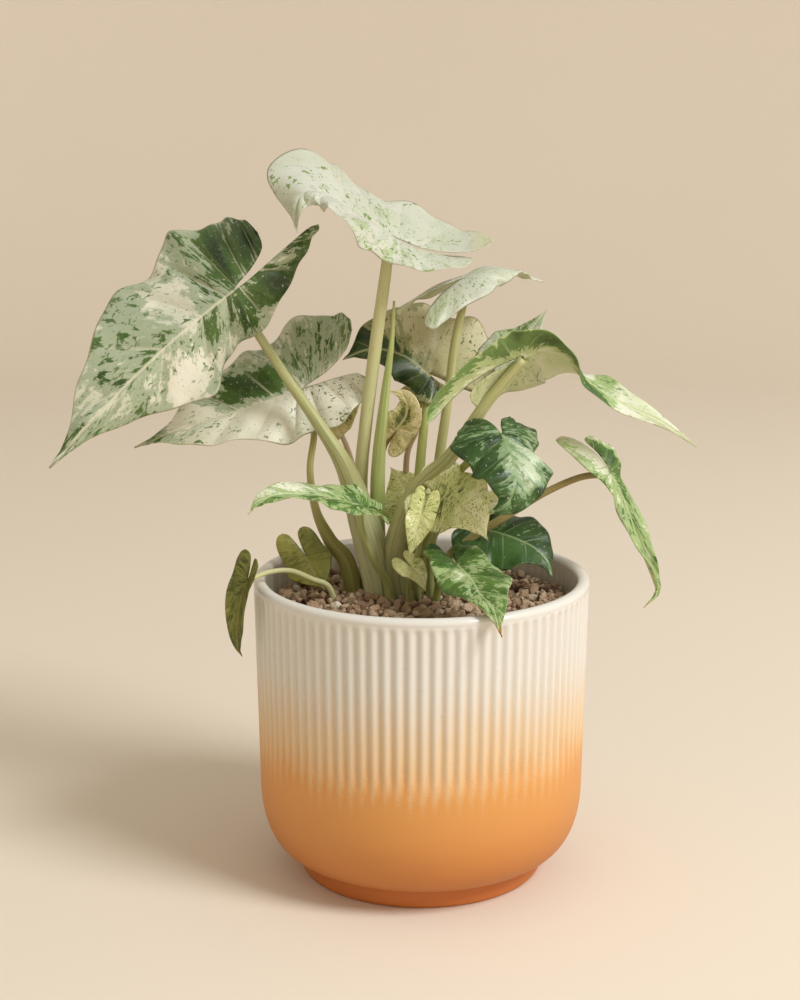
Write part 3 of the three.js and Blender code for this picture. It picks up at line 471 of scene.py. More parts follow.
def make_blade(leaf, rows, columns):
    """A closed blade: an upper and an under sheet for each half, which meet at the margin."""
    blade = Blade(leaf)
    bm = bmesh.new()
    veins = bm.loops.layers.uv.new("veins")
    plan = bm.loops.layers.uv.new("plan")
    patch = bm.verts.layers.float.new("patch")
    rim = bm.verts.layers.float.new("rim")
    end = bm.verts.layers.float.new("end")
    spots = {}
    for under in (False, True):
        for half in (0, 1):
            shares = {}
            for corner, a, b in grid_faces(bm, columns, rows):
                around, out = b, a ** COLUMN_POWER
                key = (half, round(around, 6), round(out, 6))
                if key not in spots:
                    spots[key] = blade.spot(half, around, out)
                place, level, down, across = spots[key]
                thick = blade.thickness(around, out, down, across, under)
                corner.co = place + level * (-thick if under else thick)
                corner[patch] = patch_at(leaf, down / blade.length, across / leaf["wide"][half])
                corner[rim] = out
                corner[end] = leaf["scorch"] * smoothstep(down / blade.length, SCORCH_START, 1)
                shares[corner] = (around * VEIN_COUNT + HALF_SHIFT * half, out, down / 100, across / 100)
            for face in {face for corner in shares for face in corner.link_faces}:
                face.material_index = int(under)
                for loop in face.loops:
                    a, b, c, d = shares[loop.vert]
                    loop[veins].uv = (a, b)
                    loop[plan].uv = (c, d)
    bmesh.ops.remove_doubles(bm, verts=bm.verts[:], dist=0.003)
    bmesh.ops.dissolve_degenerate(bm, edges=bm.edges[:], dist=0.001)
    bmesh.ops.recalc_face_normals(bm, faces=bm.faces[:])
    return bm


def patch_at(leaf, share, reach):
    """How green the tissue is there: the sum of the leaf's soft patches."""
    total = leaf["tone"]
    for down, across, long, wide, amount in leaf["patches"]:
        total += amount * math.exp(-((share - down) / long) ** 2 - ((reach - across) / wide) ** 2)
    return total


def make_stalk(points, thick, sides, steps, section):
    """A closed stalk along a curve. The section gives the radius at an angle, a share and a width."""
    frames = frames_down(points, STALK_FRONT, steps)
    widths = [Vector((value, 0)) for value in thick]
    length = sum((b[0] - a[0]).length for a, b in zip(frames, frames[1:]))
    bm = bmesh.new()
    grain = bm.loops.layers.uv.new("grain")
    shares = {}
    for corner, a, b in grid_faces(bm, sides, steps):
        place, forward, up, side = frames[round(b * steps)]
        angle = 2 * math.pi * a
        radius = section(angle, b, along(widths, b).x)
        corner.co = place + side * radius * math.cos(angle) + up * radius * math.sin(angle)
        shares[corner] = (a, b * length / 100)
    for face in bm.faces:
        for loop in face.loops:
            loop[grain].uv = shares[loop.vert]
    bmesh.ops.remove_doubles(bm, verts=bm.verts[:], dist=0.001)
    bmesh.ops.holes_fill(bm, edges=[edge for edge in bm.edges if edge.is_boundary], sides=0)
    bmesh.ops.recalc_face_normals(bm, faces=bm.faces[:])
    return bm


class Wire:
    """A socket of a finish. Sums, differences and products of wires add Math nodes."""

    def __init__(self, tree, socket=None):
        self.tree = tree
        self.socket = socket

    def make(self, kind, settings=None, sockets=None, output=0):
        """Adds a node: its settings first, then the values or links of its sockets."""
        node = self.tree.nodes.new("ShaderNode" + kind)
        for name, value in (settings or {}).items():
            if name == "stops":
                stops = node.color_ramp.elements
                while len(stops) < len(value):
                    stops.new(0.5)
                for stop, (place, colour) in zip(stops, value):
                    stop.position = place
                    stop.color = (*colour, 1)
            else:
                setattr(node, name, value)
        for name, value in (sockets or {}).items():
            if isinstance(value, Wire):
                self.tree.links.new(value.socket, node.inputs[name])
            else:
                node.inputs[name].default_value = value
        return Wire(self.tree, node.outputs[output] if node.outputs else None)

    def attribute(self, name):
        return self.make("Attribute", {"attribute_name": name}, output="Fac")

    def axis(self, number):
        return self.make("SeparateXYZ", None, {"Vector": self}, output=number)

    def maths(self, operation, first, second=0):
        return self.make("Math", {"operation": operation}, {0: first, 1: second})

    def __abs__(self):
        return self.maths("ABSOLUTE", self)

    def __add__(self, other):
        return self.maths("ADD", self, other)

    def __radd__(self, other):
        return self.maths("ADD", other, self)

    def __sub__(self, other):
        return self.maths("SUBTRACT", self, other)

    def __rsub__(self, other):
        return self.maths("SUBTRACT", other, self)

    def __mul__(self, other):
        return self.maths("MULTIPLY", self, other)

    def __rmul__(self, other):
        return self.maths("MULTIPLY", other, self)


def rgb(red, green, blue):
    """A colour as seen on a screen, 0 to 255, as linear light."""
    shares = (red / 255, green / 255, blue / 255)
    return tuple(s / 12.92 if s <= 0.04 else ((s + 0.055) / 1.055) ** 2.4 for s in shares)


def new_finish(name):
    material = bpy.data.materials.new(name)
    material.use_nodes = True
    material.node_tree.nodes.clear()
    return material, Wire(material.node_tree)


def blotch(wire, vector, scale, detail=3, rough=0.55, distortion=0.0):
    return wire.make(
        "TexNoise", {"noise_dimensions": "3D"},
        {"Vector": vector, "Scale": scale, "Detail": detail, "Roughness": rough, "Distortion": distortion},
    )


def ramp(wire, low, high):
    """0 below low, 1 above high, and smooth between."""
    sockets = {"Value": wire, "From Min": low, "From Max": high}
    return wire.make("MapRange", {"interpolation_type": "SMOOTHSTEP"}, sockets)


def blend(factor, first, second):
    """The second colour over the first, by the factor."""
    colours = [(*c, 1) if isinstance(c, tuple) else c for c in (first, second)]
    maker = next(value for value in (factor, first, second) if isinstance(value, Wire))
    return maker.make("Mix", {"data_type": "RGBA"}, {0: factor, 6: colours[0], 7: colours[1]}, output=2)


def stretched(wire, vector, scale, shift=(0, 0, 0)):
    return wire.make("Mapping", None, {"Vector": vector, "Scale": scale, "Location": shift})


def coat(wire, colour, roughness, bump, strength, distance, **steady):
    """The surface: a Principled shader with a bump, and sockets that are steady all over."""
    normal = wire.make("Bump", None, {"Height": bump, "Strength": strength, "Distance": distance})
    sockets = {"Base Color": colour, "Roughness": roughness, "Normal": normal}
    sockets.update({name.replace("_", " "): value for name, value in steady.items()})
    surface = wire.make("BsdfPrincipled", None, sockets)
    wire.make("OutputMaterial", None, {"Surface": surface})


def leaf_finish(name, look, seed, under):
    """Marbled tissue: a pale ground, sage and green patches with crisp edges, flecks and veins."""
    material, wire = new_finish(name)
    veins = wire.make("UVMap", {"uv_map": "veins"})
    plan = wire.make("UVMap", {"uv_map": "plan"})
    patch = wire.attribute("patch")
    rim = wire.attribute("rim")
    end = wire.attribute("end")
    shift = (1.7 * seed, 2.3 * seed, 0.9 * seed)
    flat = stretched(wire, plan, (1, 1, 1), shift)
    streak = stretched(wire, veins, (1, 0.55, 1), shift)
    broad = blotch(wire, flat, 3.4, 4, 0.6, 0.6)
    streaky = blotch(wire, streak, 1.5, 5, 0.62, 0.5)
    fine = blotch(wire, streak, 6.5, 4, 0.6, 0.3)
    marbled = broad * 0.55 + streaky * 0.45
    grain = blotch(wire, flat, 26, 5, 0.65)
    amount = marbled + (fine - 0.5) * 0.4 + (grain - 0.5) * 0.16
    ground = blend(ramp(blotch(wire, flat, 5, 3), 0.35, 0.65), look["pale"], look["cream"])
    sage = ramp(amount + patch * 0.5, 0.47, 0.53)
    colour = blend(sage * 0.85, ground, look["sage"])
    green = ramp(amount * 0.8 + fine * 0.2 + patch * 0.5, 0.6, 0.63)
    leafy = blend(ramp(streaky + patch * 0.2, 0.46, 0.8), look["green"], look["dark"])
    colour = blend(green, colour, leafy)
    fleck = ramp(blotch(wire, stretched(wire, veins, (1, 1.6, 1), shift), 7.5, 2, 0.5, 0.8), 0.61, 0.64)
    sparse = ramp(broad, 0.4, 0.52)
    colour = blend(fleck * sparse * (1 - green) * look["flecks"], colour, look["green"])
    specks = ramp(blotch(wire, flat, 60, 1), 0.7, 0.73)
    colour = blend(specks * green * 0.55, colour, look["cream"])
    dots = ramp(blotch(wire, flat, 75, 1), 0.7, 0.73)
    colour = blend(dots * (1 - green) * look["flecks"] * 0.5, colour, look["dark"])
    across = plan.axis(1)
    middle = 1 - ramp(abs(across), 0.003, 0.009)
    around = veins.axis(0)
    turn = wire.maths("FRACT", around + HALF_SHIFT)
    gap = abs(turn - 0.5)
    lateral = 1 - ramp(gap, 0.012, 0.05)
    twig = abs(blotch(wire, flat, 11, 3) - 0.5)
    net = 1 - ramp(twig, 0.004, 0.03)
    vein = lateral * (1 - rim) * 0.55 + net * 0.05
    colour = blend(vein, colour, look["vein"])
    colour = blend(middle * 0.65, colour, look["vein"])
    colour = blend(ramp(rim, 0.975, 0.998) * 0.7, colour, look["margin"])
    colour = blend(ramp(end + (broad - 0.5) * 0.3, 0.1, 0.8), colour, look["tip"])
    roughness = 0.34 + broad * 0.22 + green * -0.06
    bump = net * -0.35 + lateral * -0.5 + grain * 0.35 + fine * 0.3
    if under:
        colour = blend(0.4 - green * 0.3, colour, look["back"])
        roughness = roughness + 0.14
        bump = lateral * 0.8 + net * 0.5 + grain * 0.3
    coat(
        wire, colour, roughness, bump, 0.35, 0.0004, Specular_IOR_Level=0.45,
        Subsurface_Weight=0.22, Subsurface_Scale=0.0015, Subsurface_Radius=(1, 1, 0.5),
    )
    return material


def stalk_finish(name, foot, head, stripe, strength):
    """A fleshy stalk: a pale foot that turns into another tint, with fine streaks along it."""
    material, wire = new_finish(name)
    grain = wire.make("UVMap", {"uv_map": "grain"})
    height = grain.axis(1)
    wide = blotch(wire, stretched(wire, grain, (9, 1.3, 1)), 1, 4, 0.6, 0.4)
    thin = blotch(wire, stretched(wire, grain, (34, 1.6, 1)), 1, 3, 0.6, 0.2)
    mottle = blotch(wire, stretched(wire, grain, (10, 14, 1)), 1, 4, 0.6)
    colour = blend(ramp(height + (wide - 0.5) * 0.4, 0.15, 0.85), foot, head)
    colour = blend(ramp(thin, 0.5, 0.7) * strength, colour, stripe)
    colour = blend(ramp(wide, 0.54, 0.7) * strength * 0.7, colour, stripe)
    colour = blend(ramp(mottle, 0.6, 0.68) * 0.25, colour, rgb(120, 110, 60))
    roughness = 0.36 + mottle * 0.2
    coat(
        wire, colour, roughness, thin + mottle * 0.4, 0.4, 0.0004, Specular_IOR_Level=0.4,
        Subsurface_Weight=0.25, Subsurface_Scale=0.002, Subsurface_Radius=(1, 1, 0.5),
    )
    return material


def glaze_finish():
    """Cream-white gloss that breaks into tan between the ribs, with painted shade in the grooves, and turns
    into a matt orange bowl.
    """
    material, wire = new_finish("ombre glaze")
    place = wire.make("TexCoord", output="Object")
    angle = wire.maths("ARCTAN2", place.axis(1), place.axis(0))
    crest = wire.maths("COSINE", angle * RIB_COUNT) * 0.5 + 0.5
    height = place.axis(2) * 1000
    runs = blotch(wire, stretched(wire, place, (60, 60, 9)), 1, 4, 0.6)
    cloud = blotch(wire, place, 22, 4, 0.6)
    spray = blotch(wire, place, 1300, 2, 0.6)
    level = height + (crest - 0.5) * 8 + (runs - 0.5) * 18 + (cloud - 0.5) * 14 + (spray - 0.5) * 16
    white = ramp(level, 72, 120)
    orange = blend(ramp(height + (cloud - 0.5) * 12, 4, 62), rgb(188, 115, 52), rgb(213, 150, 80))
    tan = blend(ramp(level, 55, 82), orange, rgb(221, 190, 148))
    colour = blend(white, tan, rgb(216, 214, 208))
    # Painted shade: the grooves between the ribs are darkened a little, as the ribs shade them.
    groove_shade = (1 - crest) * ramp(height, 66, 76) * (1 - ramp(height, 138, 143))
    colour = blend(groove_shade * 0.2, colour, rgb(180, 156, 122))
    foot = 1 - ramp(height, 8.2, 10.4)
    colour = blend(foot * 0.6, colour, rgb(192, 106, 44))
    pin = ramp(blotch(wire, place, 420, 1), 0.73, 0.76)
    colour = blend(pin * 0.15, colour, rgb(170, 120, 75))
    roughness = 0.5 - white * 0.3 + (cloud - 0.5) * 0.1
    bump = cloud * 0.5 + spray * 0.12 * (1 - white) + runs * 0.25
    coat(wire, colour, roughness, bump, 0.25, 0.0012, Specular_IOR_Level=0.5)
    return material


def pumice_finish():
    """Pinkish-brown pumice with pale and dark grains, pits darkened with painted shade, and dust."""
    material, wire = new_finish("pumice")
    place = wire.make("TexCoord", output="Object")
    tint = wire.attribute("tint")
    coarse = blotch(wire, place, 500, 4, 0.65)
    fine = blotch(wire, place, 2200, 3, 0.65)
    stops = [
        (0.0, rgb(120, 94, 72)), (0.2, rgb(164, 134, 108)), (0.5, rgb(192, 162, 132)),
        (0.75, rgb(206, 182, 152)), (0.9, rgb(220, 204, 178)), (1.0, rgb(236, 228, 210)),
    ]
    colour = wire.make("ValToRGB", {"stops": stops}, {"Fac": tint + (coarse - 0.5) * 0.5})
    pits_and_pit_shade = ramp(fine, 0.58, 0.7)
    # Painted shade: the pits are darkened where shade falls in them; the same mask sinks them in the bump.
    colour = blend(pits_and_pit_shade * 0.45, colour, rgb(84, 60, 46))
    coat(wire, colour, 0.9 - coarse * 0.1, coarse * 1.2 + fine - pits_and_pit_shade, 0.8, 0.0008, Specular_IOR_Level=0.25)
    return material


def soil_finish():
    """Dark crumbly potting soil with a few pale grains."""
    material, wire = new_finish("potting soil")
    place = wire.make("TexCoord", output="Object")
    coarse = blotch(wire, place, 260, 5, 0.7)
    fine = blotch(wire, place, 900, 3, 0.6)
    colour = blend(coarse, rgb(44, 30, 22), rgb(92, 68, 50))
    colour = blend(ramp(fine, 0.66, 0.7), colour, rgb(180, 168, 150))
    coat(wire, colour, 0.85 + coarse * 0.1, coarse + fine * 0.6, 1.0, 0.002, Specular_IOR_Level=0.2)
    return material


def paper_finish():
    """The pale studio sweep, with the faintest grain."""
    material, wire = new_finish("studio paper")
    place = wire.make("TexCoord", output="Object")
    cloud = blotch(wire, place, 1.2, 2, 0.5)
    colour = blend(cloud, rgb(224, 212, 196), rgb(230, 218, 203))
    grain = blotch(wire, place, 400, 2)
    coat(wire, colour, 0.85 + cloud * 0.05, grain, 0.03, 0.0005, Specular_IOR_Level=0.2)
    return material


# Tints of the tissue. Pale and cream make the ground, sage and green the patches, dark their depths.
TINTS = {
    "splash": {
        "cream": rgb(221, 219, 204), "pale": rgb(200, 203, 184), "sage": rgb(150, 164, 134),
        "green": rgb(80, 110, 48), "dark": rgb(32, 56, 22), "vein": rgb(216, 212, 188),
        "margin": rgb(206, 204, 172), "back": rgb(190, 194, 156), "tip": rgb(150, 140, 84), "flecks": 0.95,
    },
    "dusk": {
        "cream": rgb(190, 184, 150), "pale": rgb(172, 168, 124), "sage": rgb(140, 142, 96),
        "green": rgb(58, 82, 32), "dark": rgb(28, 46, 16), "vein": rgb(170, 172, 128),
        "margin": rgb(150, 146, 104), "back": rgb(150, 148, 100), "tip": rgb(120, 110, 60), "flecks": 0.9,
    },
    "snow": {
        "cream": rgb(194, 196, 184), "pale": rgb(184, 189, 170), "sage": rgb(160, 174, 136),
        "green": rgb(110, 136, 64), "dark": rgb(70, 94, 46), "vein": rgb(196, 197, 178),
        "margin": rgb(190, 191, 168), "back": rgb(200, 194, 144), "tip": rgb(184, 172, 112), "flecks": 1.0,
    },
    "forest": {
        "cream": rgb(196, 206, 182), "pale": rgb(168, 184, 150), "sage": rgb(112, 140, 96),
        "green": rgb(60, 94, 40), "dark": rgb(28, 52, 24), "vein": rgb(140, 164, 112),
        "margin": rgb(140, 150, 92), "back": rgb(112, 130, 74), "tip": rgb(110, 100, 50), "flecks": 0.6,
    },
    "meadow": {
        "cream": rgb(214, 216, 198), "pale": rgb(196, 204, 168), "sage": rgb(140, 164, 100),
        "green": rgb(84, 120, 48), "dark": rgb(42, 78, 28), "vein": rgb(188, 202, 148),
        "margin": rgb(190, 194, 140), "back": rgb(194, 194, 140), "tip": rgb(176, 124, 66), "flecks": 0.8,
    },
    "lime": {
        "cream": rgb(238, 238, 200), "pale": rgb(226, 228, 166), "sage": rgb(200, 208, 134),
        "green": rgb(116, 130, 54), "dark": rgb(62, 78, 28), "vein": rgb(210, 210, 156),
        "margin": rgb(198, 192, 134), "back": rgb(200, 200, 136), "tip": rgb(150, 130, 70), "flecks": 1.0,
    },
    "olive": {
        "cream": rgb(152, 150, 72), "pale": rgb(128, 130, 56), "sage": rgb(106, 112, 44),
        "green": rgb(76, 84, 26), "dark": rgb(50, 54, 14), "vein": rgb(148, 144, 76),
        "margin": rgb(96, 84, 34), "back": rgb(140, 130, 66), "tip": rgb(84, 66, 28), "flecks": 0.7,
    },
    "straw": {
        "cream": rgb(214, 202, 156), "pale": rgb(196, 182, 126), "sage": rgb(170, 162, 98),
        "green": rgb(96, 102, 40), "dark": rgb(58, 68, 24), "vein": rgb(208, 196, 146),
        "margin": rgb(176, 154, 104), "back": rgb(190, 174, 118), "tip": rgb(140, 112, 66), "flecks": 1.0,
    },
}

# How each blade is marked: its tints, how green it is, and patches as the share down the midrib, the
# share across (right half above 0), how long and how wide they are, and how much greener.
MARKS = {
    "big_left": ("splash", 0.07, [
        (-0.14, 0.45, 0.2, 0.42, 0.42), (-0.12, -0.4, 0.4, 0.35, 0.36), (0.2, 0.55, 0.1, 0.5, -0.28),
        (0.3, -0.7, 0.25, 0.4, -0.25), (0.97, 0, 0.08, 0.5, 0.3), (0.6, 0.1, 0.2, 0.5, 0.05),
    ]),
    "second_left": ("splash", -0.1, [
        (0.28, 0.3, 0.22, 0.28, 0.85), (0.05, -0.6, 0.9, 0.55, -0.35), (-0.4, 0.6, 0.45, 0.6, 0.3),
        (0.9, 0.1, 0.1, 0.5, 0.6),
    ]),
    "top": ("snow", -0.22, [(0.1, -0.6, 0.2, 0.3, 0.2)]),
    "second_top": ("snow", -0.16, [(-0.6, 0.3, 0.5, 0.6, 0.15)]),
    "centre_dark": ("dusk", -0.1, [
        (0.55, -0.5, 0.8, 0.6, 0.9), (-0.1, 0.65, 0.8, 0.6, -0.2), (0.95, 0.3, 0.3, 0.9, 0.6),
    ]),
    "right_arch": ("meadow", -0.1, [
        (0.3, 0.6, 0.36, 0.42, 0.8), (0.84, 0, 0.22, 1.2, -0.5), (-0.6, 0.9, 0.5, 0.45, 0.6),
        (0.57, -0.2, 0.08, 0.5, 0.4), (0.1, -0.5, 0.4, 0.6, -0.1),
    ]),
    "dark_droop": ("forest", 0.34, [(0.25, -0.25, 0.28, 0.4, -0.42), (0.5, 0.6, 0.3, 0.3, 0.1)]),
    "far_right": ("meadow", 0.1, [
        (-0.2, -0.6, 0.3, 0.5, 0.6), (-0.2, 0.5, 0.25, 0.5, -0.35), (0.5, 0, 0.4, 0.7, 0.05),
    ]),
    "front_left": ("meadow", 0.18, [(0.0, 0, 0.2, 0.7, 0.2), (0.5, 0.3, 0.4, 0.3, -0.2)]),
    "left_small": ("olive", 0.0, []),
    "far_left_small": ("olive", 0.2, []),
    "front_right": ("meadow", 0.26, [(-0.1, 0, 0.2, 0.9, 0.4), (0.35, 0.3, 0.3, 0.5, -0.18)]),
    "dark_low": ("forest", 0.5, []),
    "cream_point": ("lime", -0.05, [(0.0, 0.3, 0.25, 0.5, 0.25), (0.8, 0, 0.4, 1, -0.25)]),
    "cream_right": ("lime", -0.35, []),
    "marbled_low": ("lime", 0.1, []),
    "cream_low": ("lime", -0.1, [(0.1, -0.5, 0.4, 0.5, 0.3)]),
    "olive_back": ("lime", -0.05, []),
    "tan_mid": ("straw", -0.12, [(0.3, -0.1, 0.25, 0.4, 0.8)]),
    "tan_left": ("straw", -0.1, [(0.4, 0.4, 0.3, 0.4, 0.3)]),
    "tan_under": ("straw", -0.05, [(0.2, 0.3, 0.3, 0.4, 0.2)]),
    "back_pale": ("snow", 0.0, [(0.3, -0.4, 0.5, 0.4, 0.2)]),
}

# How brown a tip is, how high the tissue swells between side veins in millimetres, and the rows and
# columns of a blade's mesh. The common values are for the leaves that aren't named.
SCORCH = {
    "front_right": 1.0, "far_right": 0.5, "left_small": 0.4, "far_left_small": 0.7, "second_left": 0.5,
}
PUCKER = {
    "big_left": 1.5, "second_left": 1.0, "dark_droop": 1.2, "top": 0.8, "front_left": 0.6,
    "front_right": 0.9,
}
BLADE_MESH = {
    "big_left": (132, 30), "second_left": (120, 26), "top": (120, 28), "right_arch": (120, 18),
}
COMMON_SCORCH = 0.2
COMMON_PUCKER = 0.15
COMMON_MESH = (84, 16)

# Stalks: the tints of the foot, the head and the streaks, how strong the streaks are, and the sheath,
# as the share of the stalk that it holds and how deep it is hollowed.
PALE_GREEN = rgb(182, 194, 140)
SHEATH = rgb(196, 200, 160)
MOSS = rgb(104, 118, 54)
BROWN = rgb(128, 112, 72)
TAN_STALK = (rgb(190, 172, 140), rgb(176, 152, 118), BROWN, 0.3, 0.2, 0.2)
STALKS = {
    "big_left": (SHEATH, rgb(172, 172, 120), rgb(118, 130, 82), 0.8, 0.6, 0.5),
    "second_left": (rgb(140, 138, 76), rgb(176, 166, 108), MOSS, 0.8, 0.45, 0.5),
    "top": (rgb(186, 192, 134), rgb(196, 194, 146), PALE_GREEN, 0.5, 0.4, 0.3),
    "second_top": (rgb(176, 180, 118), rgb(184, 182, 128), MOSS, 0.25, 0.3, 0.2),
    "centre_dark": (rgb(168, 176, 100), rgb(176, 182, 112), MOSS, 0.3, 0.3, 0.2),
    "right_arch": (rgb(176, 178, 132), rgb(184, 184, 130), MOSS, 0.7, 0.65, 0.5),
    "dark_droop": (rgb(156, 158, 92), rgb(154, 154, 84), MOSS, 0.5, 0.4, 0.3),
    "far_right": (rgb(180, 172, 120), rgb(154, 138, 84), BROWN, 0.4, 0.35, 0.3),
    "front_left": (rgb(166, 172, 112), rgb(180, 186, 124), MOSS, 0.3, 0.3, 0.2),
    "left_small": (PALE_GREEN, rgb(150, 144, 80), MOSS, 0.3, 0, 0),
    "far_left_small": (rgb(206, 208, 158), rgb(202, 200, 150), MOSS, 0.2, 0, 0),
    "front_right": (rgb(150, 158, 90), rgb(176, 184, 120), MOSS, 0.3, 0.2, 0.2),
    "tan_mid": TAN_STALK,
    "tan_left": (rgb(190, 172, 140), rgb(182, 160, 130), BROWN, 0.3, 0.2, 0.2),
    "tan_under": TAN_STALK,
}
COMMON_STALK = (rgb(160, 168, 110), rgb(172, 176, 124), MOSS, 0.4, 0.3, 0.3)


def pot_profile():
    """The pot's outline as pairs of radius and height, from the middle of the foot to the inner floor."""
    outline = [(0, 0), (FOOT_FLAT, 0)]
    outline += [(FOOT_RADIUS + step, height) for step, height in FOOT_PROFILE]
    for k in range(14, -1, -1):
        angle = math.pi / 2 * k / 14
        reach = math.cos(angle) ** (2 / BOWL_EXPONENT) if k < 14 else 0.03
        drop = math.sin(angle) ** (2 / BOWL_EXPONENT)
        radius = FOOT_RADIUS + (BOWL_TOP_RADIUS - FOOT_RADIUS) * reach
        outline.append((radius, BOWL_TOP - (BOWL_TOP - FOOT_HEIGHT) * drop))
    outline += [(wall_radius(height), height) for height in WALL_ROWS]
    lip = POT_HEIGHT - LIP_HEIGHT
    outline.append((RIM_RADIUS - 0.25, lip - 0.6))
    bead = WALL / 2
    for angle in range(0, 181, 15):
        turn = math.radians(angle)
        height = lip + LIP_HEIGHT * math.sin(turn) ** 0.9
        outline.append((RIM_RADIUS - bead + bead * math.cos(turn), height))
    inner = RIM_RADIUS - WALL
    outline += [
        (inner, lip - 3), (inner, 120), (inner - 0.4, 90), (inner - 1, BOWL_TOP), (inner - 3, 32),
        (inner - 8, 22), (FOOT_RADIUS - 6, FLOOR_THICKNESS + 2), (FOOT_RADIUS - 12, FLOOR_THICKNESS),
        (0, FLOOR_THICKNESS),
    ]
    return outline


def wall_radius(height):
    return lerp(BOWL_TOP_RADIUS, RIM_RADIUS, (height - BOWL_TOP) / (POT_HEIGHT - BOWL_TOP))


def make_pot():
    """The outline wound round from a grid, then ribbed: round ridges that fade at both ends."""
    outline = pot_profile()
    bm = bmesh.new()
    for corner, a, b in grid_faces(bm, 8 * RIB_COUNT, len(outline) - 1):
        radius, height = outline[round(b * (len(outline) - 1))]
        angle = 2 * math.pi * a
        if radius > wall_radius(height) - 2 and RIB_BOTTOM - 2 < height < RIB_TOP:
            ridge = (0.5 + 0.5 * math.cos(RIB_COUNT * angle)) ** 0.8
            rise = smoothstep(height, RIB_BOTTOM, RIB_BOTTOM + 14)
            radius -= RIB_DEPTH * (1 - ridge) * rise * (1 - smoothstep(height, RIB_TOP - 3.5, RIB_TOP))
        corner.co = (radius * math.cos(angle), radius * math.sin(angle), height)
    bmesh.ops.remove_doubles(bm, verts=bm.verts[:], dist=0.005)
    bmesh.ops.recalc_face_normals(bm, faces=bm.faces[:])
    return bm


def any_way(draw):
    """A direction drawn evenly from all."""
    return Vector((draw.gauss(0, 1), draw.gauss(0, 1), draw.gauss(0, 1))).normalized()


def make_gravel(draw):
    """Broken pumice: few-sided stones with cut faces, strewn over the soil in two layers."""
    lump = bmesh.new()
    bmesh.ops.create_cube(lump, size=1)
    bmesh.ops.subdivide_edges(lump, edges=lump.edges[:], cuts=2, use_grid_fill=True)
    for corner in lump.verts:
        corner.co = corner.co.lerp(corner.co.normalized() * 0.62, 0.72)
    stone = bpy.data.meshes.new("stone")
    lump.to_mesh(stone)
    lump.free()
    bm = bmesh.new()
    tint = bm.verts.layers.float.new("tint")
    reach = RIM_RADIUS - WALL - 1.6
    spots = []
    near = {}
    for _ in range(12 * STONE_COUNT):
        size = STONE_SMALL + STONE_SPREAD * draw.random() ** 1.7
        radius = (reach - size * 0.45) * math.sqrt(draw.random())
        angle = 2 * math.pi * draw.random()
        spot = Vector((radius * math.cos(angle), radius * math.sin(angle), 0))
        layer = 1 if len(spots) > STONE_COUNT * 0.45 else 0
        cell = (round(spot.x / 6), round(spot.y / 6), layer)
        cells = [(cell[0] + i, cell[1] + j, layer) for i in (-1, 0, 1) for j in (-1, 0, 1)]
        others = [pair for key in cells for pair in near.get(key, [])]
        if not any((place - spot).length < (other + size) * STONE_CROWDING for place, other in others):
            spots.append((spot, size, layer))
            near.setdefault(cell, []).append((spot, size))
        if len(spots) >= STONE_COUNT:
            break
    for spot, size, layer in spots:
        start = len(bm.verts)
        bm.from_mesh(stone)
        bm.verts.ensure_lookup_table()
        corners = bm.verts[start:]
        sides = (draw.uniform(0.9, 1.25), draw.uniform(0.8, 1), draw.uniform(0.65, 0.9))
        shape = Matrix.Diagonal([size * side for side in sides])
        turn = Matrix.Rotation(draw.uniform(0, 6.28), 3, any_way(draw))
        cuts = [any_way(draw) for _ in range(STONE_CUTS)]
        depths = [draw.uniform(0.32, 0.48) for _ in cuts]
        hill = 1.8 * noise.noise(spot * 0.05) + 1.6 * smoothstep(spot.length, 45, reach)
        lift = GRAVEL_TOP - 2.2 + layer * LAYER_RISE + hill + draw.uniform(-0.5, 0.7)
        shade = min(max(draw.gauss(0.5, 0.2), 0), 1)
        for corner in corners:
            place = corner.co.copy()
            for cut, depth in zip(cuts, depths):
                over = place.dot(cut) - depth
                if over > 0:
                    place -= cut * over
            corner.co = turn @ (shape @ place) + spot + Vector((0, 0, lift))
            corner[tint] = shade
    bed = bmesh.ops.create_circle(bm, cap_ends=True, radius=reach, segments=96)["verts"]
    bmesh.ops.translate(bm, vec=(0, 0, GRAVEL_TOP - BED_DROP), verts=bed)
    return bm


def stalk_section(hollow, sheath, inward):
    """A stalk's radius at an angle: hollowed with two lips where it sheathes, and finely ridged."""
    def radius(angle, share, width):
        turn = abs((angle - inward + math.pi) % (2 * math.pi) - math.pi)
        open_share = 1 - smoothstep(share, sheath * 0.5, sheath) if sheath else 0
        groove = hollow * open_share * math.exp(-(turn / 0.5) ** 2)
        lips = 0.16 * open_share * math.exp(-((turn - 0.85) / 0.22) ** 2)
        ridges = 0.018 * math.cos(16 * angle)
        return width * (1 - groove + lips + ridges)
    return radius


def scroll_section(angle, share, width):
    """A rolled blade's radius at an angle: a scroll whose seam winds up the spear."""
    turn = (angle - 1.2 - 5.5 * share) % (2 * math.pi) / (2 * math.pi)
    return width * (0.9 + 0.2 * turn)


def inward_angle(points):
    """The angle, in the stalk's own section, that looks to the middle of the pot at its foot."""
    place, forward, up, side = frames_down(points, STALK_FRONT, 12)[1]
    inward = Vector((*CLUMP, place.z)) - place
    return math.atan2(inward.dot(up), inward.dot(side))


draw = random.Random(7)
new_piece(make_pot(), "ombre_pot", "pot", [glaze_finish()])
gravel = new_piece(make_gravel(draw), "pumice_gravel", "gravel", [pumice_finish()])
for face in gravel.data.polygons:
    face.use_smooth = False
soil = frame["nodes"]["soil"]
soil.data.materials.clear()
soil.data.materials.append(soil_finish())

